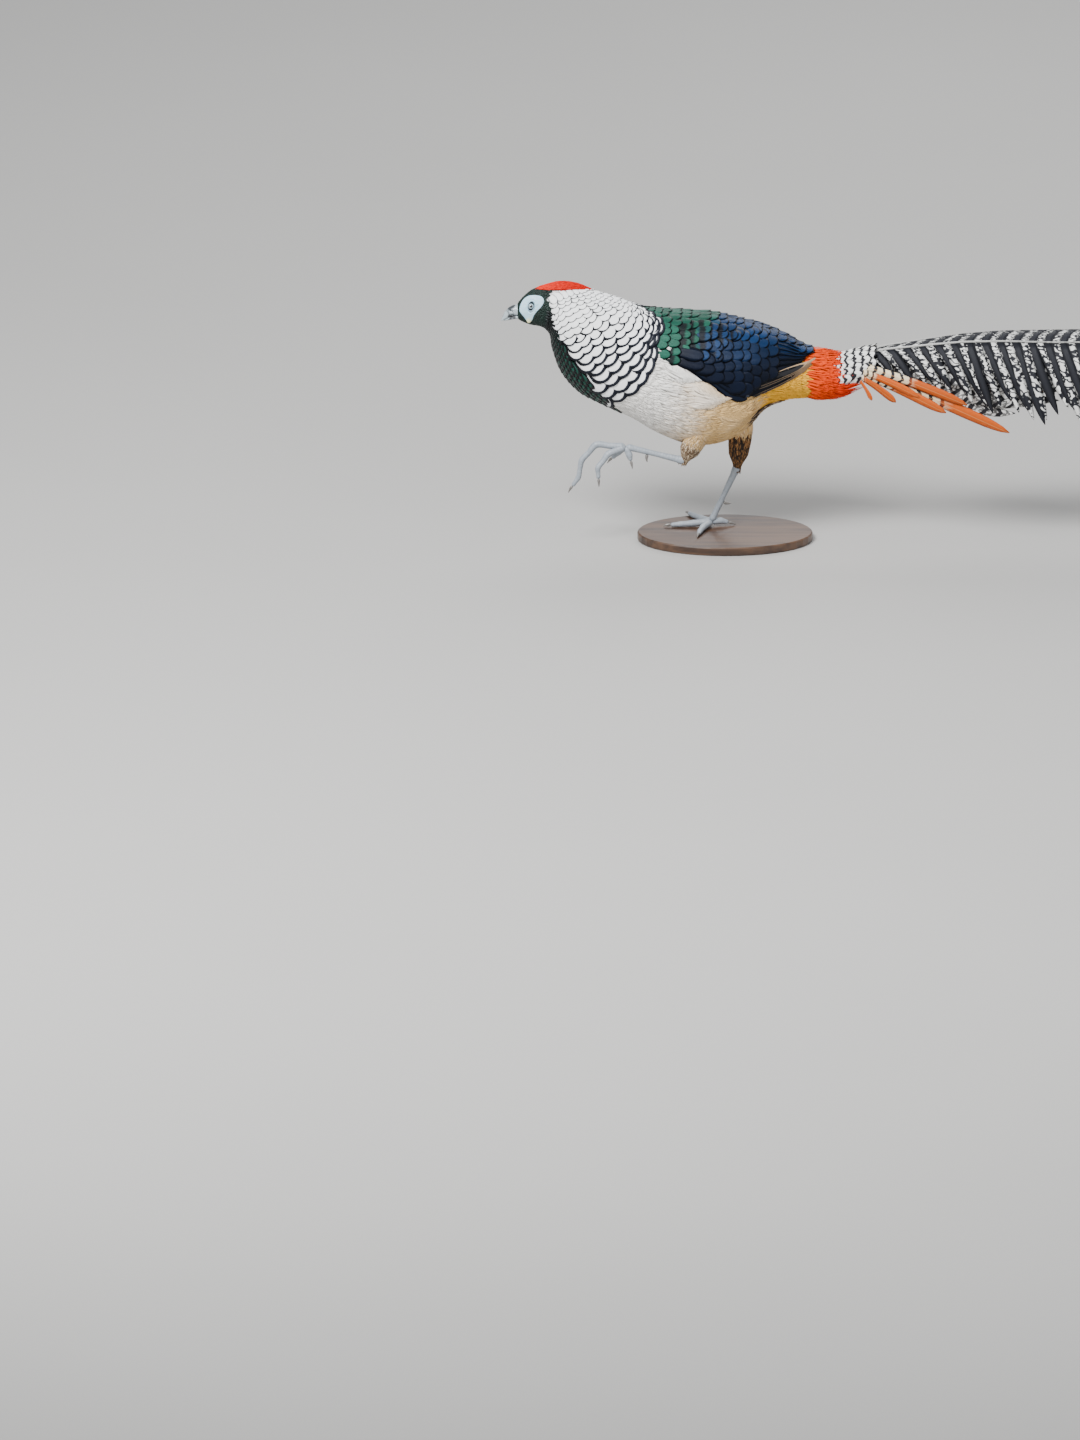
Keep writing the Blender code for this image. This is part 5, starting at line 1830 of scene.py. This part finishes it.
@dataclass
class Tail:
    """The long vaulted tail with its fringed central and side feathers."""

    period: float = 0.0215
    first: float = 0.172
    last: float = 0.992
    slant: float = 0.034

    @staticmethod
    def roof(x: Array, turn: Array, inset: Array, side: Side) -> Array:
        """Return points of the roof at places along x and turns from the ridge."""
        x, turn, inset = np.broadcast_arrays(x, turn, inset)
        ridge, drape, wide = (edge_at(TAIL_ROOF, column, x) for column in (1, 2, 3))
        angle = np.radians(turn)
        aside = np.maximum(wide - inset, 0.002) * np.sin(angle)
        rise = np.maximum(drape - inset, 0.002) * np.cos(angle)
        return np.stack([x, -side.value * aside, ridge - drape + rise], axis=-1) + LIFT

    @staticmethod
    def shoulder(x: Array) -> Array:
        """Return the turn from the ridge at which a central shaft lies."""
        return np.interp(x, (0.17, 0.24, 0.45, 1.0), (14.0, 19.0, 26.0, 26.0))

    def vane(self, side: Side, material: Material) -> None:
        """Build one central feather's two webs, clump by clump."""
        chance = np.random.default_rng(91 + side.value)
        coat = Coat(93)
        starts = np.arange(self.first, self.last - 0.012, self.period / 2)
        number = len(starts)
        q, share, v = lattice(BARB_CLUMP, 3)
        start = by_feather(starts)
        fade = np.clip((self.last + 0.010 - start) / 0.10, 0.25, 1.0)

        def luck(low: float, high: float) -> Array:
            """Return a random number for each clump."""
            return by_feather(low + (high - low) * chance.random(number))

        shaft = self.shoulder(start)
        for reach, slant, seam in (
            (luck(80, 99), self.slant * luck(0.75, 1.25), 0.0010), (-7.0, 0.020, 0.0),
        ):
            x = start + slant * fade * q**1.3 + v * share * self.period * 0.36
            x = x + luck(-0.004, 0.004) * q**3
            x = np.clip(x, self.first - 0.004, self.last + 0.012)
            turn = shaft + (reach - shaft) * q + 0 * v
            lens = 0.0004 * (1 - v**2)
            inset = seam * np.sin(start * 40 + q * 3) * q + 0.0006 * v
            root = np.stack([starts - self.first, np.full(number, 0.5 * (seam > 0))], axis=-1)
            coat.plates(
                self.roof(x, turn, inset - lens, side),
                self.roof(x, turn, inset + lens + 1e-5, side),
                q, v * share, np.arange(number) % 2 * 1.0, root,
            )
        coat.settle(f"tail_vane_{side}", material, "tail", (f"tail_{side}",))

    def side_feathers(self, side: Side, material: Material) -> None:
        """Build the shorter barred feathers under the central pair."""
        coat = Coat(94)
        for rank, (length, turn) in enumerate(
            ((0.56, 30), (0.45, 48), (0.36, 64), (0.28, 80), (0.22, 94)), 1
        ):
            q = np.linspace(0, 1, 40)[None, :, None]
            v = np.linspace(-1, 1, 7)[None, None, :]
            share = np.interp(q, (0, 0.1, 0.4, 0.75, 0.9, 1), (0.35, 0.6, 1.0, 0.85, 0.5, 0.04))
            x = 0.176 + length * q - 0.010 * np.abs(v) * share
            wide = 0.020 * share
            drape = edge_at(TAIL_ROOF, 2, x)
            angle = turn + np.degrees(v * wide / np.maximum(drape, 0.03))
            inset = 0.0032 * rank + 0.0012 * v**2
            lens = 0.0004 * (1 - v**2)
            coat.plates(
                self.roof(x, angle, inset - lens, side),
                self.roof(x, angle, inset + lens + 1e-5, side),
                q * length / 0.56, v * share, np.array([rank / 5]), np.array([[rank / 6, 0.5]]),
            )
        coat.settle(f"tail_side_feathers_{side}", material, "tail")

    def shafts(self) -> None:
        """Build the two pale shafts of the central feathers."""
        maker = MeshMaker()
        for side in Side:
            x = np.linspace(self.first + 0.004, self.last, 60)
            path = self.roof(x, self.shoulder(x), np.full(60, -0.0008), side)
            swept_tube(maker, path, np.linspace(0.0017, 0.0004, 60), 10)
        horn = HornFinish("pale_feather_shaft", (0.34, 0.34, 0.33), (0.12, 0.12, 0.12), (0.5, 0.8))
        maker.settle("tail_shafts", horn.make(), "tail")

    def build(self) -> None:
        """Build and dress the tail."""
        fringe = FringeFinish().make()
        barred = BarredFinish("barred_side_feathers", 0.036, 0.36, 0.25).make()
        for side in Side:
            self.vane(side, fringe)
            self.side_feathers(side, barred)
        self.shafts()


@dataclass
class LongCoverts:
    """The long coverts with barred roots and fiery orange blades."""

    root: float = 0.15
    blades: tuple[tuple[Triple, float, float], ...] = (
        ((0.2000, 0.040, 0.1990), 122, 0.012),
        ((0.2329, 0.052, 0.2000), 106, 0.014),
        ((0.3014, 0.064, 0.1888), 92, 0.016),
        ((0.3877, 0.072, 0.1630), 78, 0.018),
        ((0.3300, 0.067, 0.2010), 64, 0.015),
        ((0.2650, 0.058, 0.2090), 84, 0.013),
    )

    def build(self) -> None:
        """Build and dress the coverts of both sides."""
        finish = BarredFinish(
            "orange_tipped_coverts", 0.070, 0.36, 0.30, white=(0.80, 0.66, 0.44), maze=0.0,
            tip=(0.54, 0.088, 0.001),
        ).make()
        shares = np.linspace(0, 1, 24)
        fine = [(share, float(np.interp(share, *zip(*COVERT_BLADE)))) for share in shares]
        rooted = shares[:, None] / self.root
        u = np.maximum(0.0, (shares[:, None] - self.root) / (1 - self.root))
        for side in Side:
            coat = Coat(101)
            for (tip_x, tip_y, tip_z), angle, width in self.blades:
                turn = math.radians(angle)
                out = np.array([0.0, -side.value * math.sin(turn), math.cos(turn)])
                start = np.array([0.163, 0.0, 0.2280]) + out * 0.0195
                knee = start + np.array([0.020, 0.0, 0.006]) + out * 0.004
                end = np.array([tip_x, -tip_y * side.value, tip_z])
                bow = knee + (end - knee) * 0.5 + np.array([0.0, -0.008 * side.value, 0.007])
                spine = knee * (1 - u) ** 2 + 2 * bow * u * (1 - u) + end * u**2
                spine = np.where(rooted < 1, start + (knee - start) * rooted, spine)
                root_side = np.array([0.0, math.cos(turn) * side.value, math.sin(turn)])
                sides = root_side * (1 - u) + np.array([0.0, -0.35 * side.value, 1.0]) * u
                burnt = np.interp([tip_x], (0.20, 0.26, 0.33, 0.39), (0.15, 0.36, 0.56, 0.64))
                coat.blades(
                    spine[None] + LIFT, sides[None], np.array([width]), fine, burnt, columns=7
                )
            coat.settle(f"long_coverts_{side}", finish, "rump", (f"coverts_{side}",))


@dataclass
class Leg:
    """One leg: feathered shin, scaled shank and toes, spur and claws."""

    side: Side
    joints: tuple[Triple, Triple, Triple]
    toes: tuple[tuple[Triple, ...], ...]
    seed: int
    tufts: int = 1500

    def build(self, scales: Material, horn: Material) -> None:
        """Build and dress the leg."""
        knee, ankle, foot = np.array(self.joints) + LIFT
        toes = [np.array(toe) + LIFT for toe in self.toes]
        self.build_scales(ankle, foot, toes, scales)
        self.build_claws(ankle, foot, toes, horn)
        self.build_shin(knee, ankle)

    @staticmethod
    def scutes(pitch: float, depth: float) -> Callable[[Array, Array], Array]:
        """Return the relief of rows of scutes.

        Args:
            pitch: Length of a scute.
            depth: How far its end stands over its root.
        """
        def relief(length: Array, turn: Array) -> Array:
            """Return the extra radius at a length and a turn."""
            row = length / pitch + 0.5 * (np.sin(turn * 2) > 0)
            saw = np.minimum((row % 1.0) * 4, (1 - row % 1.0) * 1.3)
            return depth * (np.clip(saw, 0, 1) - 0.5)

        return relief

    def build_scales(
        self, ankle: Array, foot: Array, toes: Sequence[Array], material: Material
    ) -> None:
        """Build the bare shank, the foot and the toes with raised scutes."""
        maker = MeshMaker()
        bone = foot - ankle
        path = np.array([ankle + bone * share for share in (-0.05, 0.04, 0.14, 0.5, 0.88, 1.0)])
        radii = np.array([0.0050, 0.0060, 0.0047, 0.0037, 0.0043, 0.0054])
        swept_tube(maker, path, radii, 32, self.scutes(0.0042, 0.0002), bake=(0.0, 0.40))
        for number, toe in enumerate(toes):
            path = np.vstack([foot, toe])
            radii = np.array([0.0050, *np.linspace(0.0044, 0.0029, len(toe))])
            halves = np.linspace(0, len(toe), 2 * len(toe) + 1)
            knuckles = [np.interp(halves, range(len(path)), path[:, i]) for i in range(3)]
            sizes = np.interp(halves, range(len(path)), radii)
            sizes[:-1] *= np.where(np.arange(len(halves) - 1) % 2, 0.90, 1.06)
            place = 0.42 + 0.145 * number
            swept_tube(
                maker, np.stack(knuckles, axis=-1), sizes, 24, self.scutes(0.0031, 0.00018),
                bake=(place, place + 0.14),
            )
        nodes = (f"shank_{self.side}", f"foot_{self.side}")
        maker.settle(f"leg_scales_{self.side}", material, "scale", nodes)

    def build_claws(
        self, ankle: Array, foot: Array, toes: Sequence[Array], material: Material
    ) -> None:
        """Build the curved claws and the spur."""
        down = np.array([0.0, 0.0, -0.0012])
        for number, toe in enumerate(toes, 1):
            along = unit(toe[-1] - toe[-2])
            self.add_point(f"{self.side}_{number}", "claw", [
                toe[-1] - along * 0.0006 + along * reach + down * drop
                for reach, drop in ((0, 0), (0.0035, -0.35), (0.0070, -0.10), (0.0105, 1))
            ], (0.0023, 0.0020, 0.0013, 0.0004), material)
        bone = foot - ankle
        behind = unit(np.array([-bone[2], 0.0, bone[0]]))
        root = ankle + bone * 0.62 + behind * 0.0032
        self.add_point(str(self.side), "spur", [
            root + behind * reach - bone * rise
            for reach, rise in ((0, 0), (0.004, 0), (0.008, 0.012), (0.0112, 0.032))
        ], (0.0028, 0.0022, 0.0014, 0.0004), material)

    @staticmethod
    def add_point(
        ending: str, kind: str, path: Sequence[Array], radii: Sequence[float], material: Material
    ) -> None:
        """Build one claw or spur.

        Args:
            ending: End of its names.
            kind: Start of its names.
            path: Its points from root to tip.
            radii: Its radius at each.
            material: Its material.
        """
        maker = MeshMaker()
        swept_tube(maker, np.array(path), np.array(radii), 16)
        maker.settle(f"{kind}_horn_{ending}", material, "claw", (f"{kind}_{ending}",))

    def build_shin(self, knee: Array, ankle: Array) -> None:
        """Build the mottled feathers of the shin over a smooth core."""
        shin = knee - ankle
        length = float(np.linalg.norm(shin))
        along = shin / length
        first = unit(np.cross(along, np.array([0.0, 1.0, 0.0])))
        second = np.cross(along, first)
        share_at = (0.0, 0.08, 0.30, 0.62, 1.0)
        radius_at = (0.0048, 0.0062, 0.0128, 0.0152, 0.0165)

        def surface(share: Array, turn: Array, rise: Array) -> Array:
            """Return the points at shares of the shin, turns and heights."""
            radius = np.interp(share, share_at, radius_at) + rise
            return (
                ankle + along * (share * length)[..., None]
                + first * (np.cos(turn) * radius)[..., None]
                + second * (np.sin(turn) * radius)[..., None]
            )

        chance = np.random.default_rng(self.seed)
        root = 0.12 + 1.0 * chance.random(self.tufts)
        angle = chance.random(self.tufts) * 2 * np.pi
        long = 0.20 + 0.08 * chance.random(self.tufts)
        u, share, v = lattice(SHIN_TUFT, 3)
        place = by_feather(root) - by_feather(long) * u + 0 * v
        around = np.interp(place, share_at, radius_at)
        turn = by_feather(angle) + v * share * 0.0019 / np.maximum(around, 0.004)
        rise = -0.0016 + 0.0020 * u + 0.0002 * (1 - v**2) + 0 * place
        lens = 0.0002 * (1 - v**2) + 0 * place
        raised = self.side is Side.LEFT
        low = root - long + 0.10 * chance.random(self.tufts) < (0.52 if raised else 0.76)
        mark = np.where(low, chance.random(self.tufts), 0.6 + 0.3 * chance.random(self.tufts))
        # The standing leg's shin colours are a darker copy of the raised leg's: painted shade on
        # the far leg under the body, with the raised near leg as the lit copy.
        finish = FeatherFinish(
            f"mottled_shin_feathers_{self.side}",
            (0.20, 0.13, 0.075) if raised else (0.030, 0.018, 0.012),
            (0.66, 0.52, 0.36) if raised else (0.32, 0.155, 0.055),
            (0.012, 0.009, 0.008), (0.06, 0.06), lively=0.8, roughness=0.8, turn=(0.42, 0.72),
        )
        buff = replace(BELLY_LOOK, name=f"pale_thigh_feathers_{self.side}")
        for name, kept, look, slot in (
            ("shin", low, finish, "shin"), ("thigh", ~low, buff, "belly"),
        ):
            coat = Coat(self.seed + 1, BakePlan.ROOTS)
            spots = place[kept]
            coat.plates(
                surface(spots, turn[kept], (rise + lens)[kept]),
                surface(spots, turn[kept], (rise - lens)[kept]), u, v * share,
                mark[kept], np.stack([root, angle / (2 * np.pi)], axis=-1)[kept],
            )
            coat.settle(f"{name}_feathers_{self.side}", look.make(), slot)
        # The core wears the same shin finish, so the standing leg's core carries the same painted
        # shade.
        maker = MeshMaker()
        path = np.array([ankle + shin * t for t in (0.03, 0.08, 0.30, 0.62, 0.97)])
        swept_tube(maker, path, np.array([0.0040, 0.0048, 0.0106, 0.0130, 0.0142]), 32)
        nodes = (f"thigh_{self.side}",)
        maker.settle(f"shin_core_{self.side}", finish.make(), "shin", nodes)


@dataclass
class Stand:
    """The oval wooden stand under the standing foot, kept from the solids."""

    node: str = "stand_base"

    def build(self) -> None:
        """Dress the stand."""
        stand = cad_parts[self.node]
        stand.material_slots[0].material = WoodFinish().make()


@dataclass
class Studio:
    """Floor, soft lights and the camera at the picture's angle."""

    elevation: float = 17.0
    distance: float = 30.0
    focal: float = 21900.0
    centre: tuple[float, float] = (725.0, 531.0)
    size: tuple[int, int] = (1080, 1440)
    lights: tuple[tuple[str, Triple, float, float], ...] = (
        ("key", (-1.4, -2.2, 3.2), 1.5, 330.0),
        ("fill", (2.6, -2.4, 1.6), 2.6, 45.0),
        ("back", (0.6, 2.6, 2.6), 2.4, 80.0),
    )

    def build(self) -> None:
        """Build the studio."""
        self.build_floor()
        self.build_lights()
        self.build_camera()

    def build_floor(self) -> None:
        """Build the pale floor."""
        bpy.ops.mesh.primitive_plane_add(size=40.0, location=(0, 0, 0))
        floor = bpy.context.object
        floor.name = "studio_floor"
        floor.data.materials.append(FloorFinish().make())

    def build_lights(self) -> None:
        """Build the soft area lights and the pale world."""
        target = np.array([0.1, 0.0, 0.2])
        for name, place, size, power in self.lights:
            lamp = bpy.data.lights.new(f"{name}_light", "AREA")
            lamp.size = size
            lamp.energy = power
            thing = bpy.data.objects.new(f"{name}_light", lamp)
            bpy.context.scene.collection.objects.link(thing)
            aim = target - np.array(place)
            heading = math.atan2(aim[1], aim[0])
            tilt = math.atan2(math.hypot(aim[0], aim[1]), -aim[2])
            thing.location = place
            thing.rotation_euler = (tilt, 0.0, heading - math.pi / 2)
        world = bpy.data.worlds.new("studio_world")
        world.use_nodes = True
        back = world.node_tree.nodes["Background"]
        back.inputs["Color"].default_value = (0.93, 0.96, 1.0, 1.0)
        back.inputs["Strength"].default_value = 0.50
        bpy.context.scene.world = world

    def build_camera(self) -> None:
        """Build the camera from the picture's own measures."""
        rise = math.radians(self.elevation)
        u = (self.centre[0] - self.size[0] / 2) / self.focal
        v = (self.size[1] / 2 - self.centre[1]) / self.focal
        ray = math.sqrt(1 + u * u + v * v)
        pitch = math.atan(v) + math.asin(ray * math.sin(rise) / math.sqrt(1 + v * v))
        heading = math.atan2(u, math.cos(pitch) + v * math.sin(pitch))
        lens = bpy.data.cameras.new("camera")
        lens.sensor_fit = "AUTO"
        lens.sensor_width = 36.0
        lens.lens = 36.0 * self.focal / max(self.size)
        camera = bpy.data.objects.new("camera", lens)
        camera.location = (
            0.0, -self.distance * math.cos(rise), STAND_TOP + self.distance * math.sin(rise)
        )
        camera.rotation_euler = (math.pi / 2 - pitch, 0.0, heading)
        bpy.context.scene.collection.objects.link(camera)
        bpy.context.scene.camera = camera


def main() -> None:
    """Build the dressed bird, its stand and the studio."""
    logging.basicConfig(level=logging.INFO, format="%(name)s: %(message)s")
    bpy.ops.object.select_all(action="DESELECT")
    body = BodyShape()
    Studio().build()
    Stand().build()
    Skin(body).build()
    Head(body).build()
    Cape(body).build()
    Belly(body).build()
    Back(body).build()
    for side in Side:
        Wing(body, side).build()
    Rump(body).build()
    Tail().build()
    LongCoverts().build()
    scales = ScaleFinish().make()
    horn = HornFinish(
        "dark_claw_horn", (0.16, 0.15, 0.14), (0.030, 0.027, 0.025), tip_dark=0.8
    ).make()
    Leg(Side.RIGHT, *STANDING, seed=111).build(scales, horn)
    Leg(Side.LEFT, *RAISED, seed=121).build(scales, horn)
    bpy.ops.object.select_all(action="DESELECT")


if __name__ == "__main__":
    main()
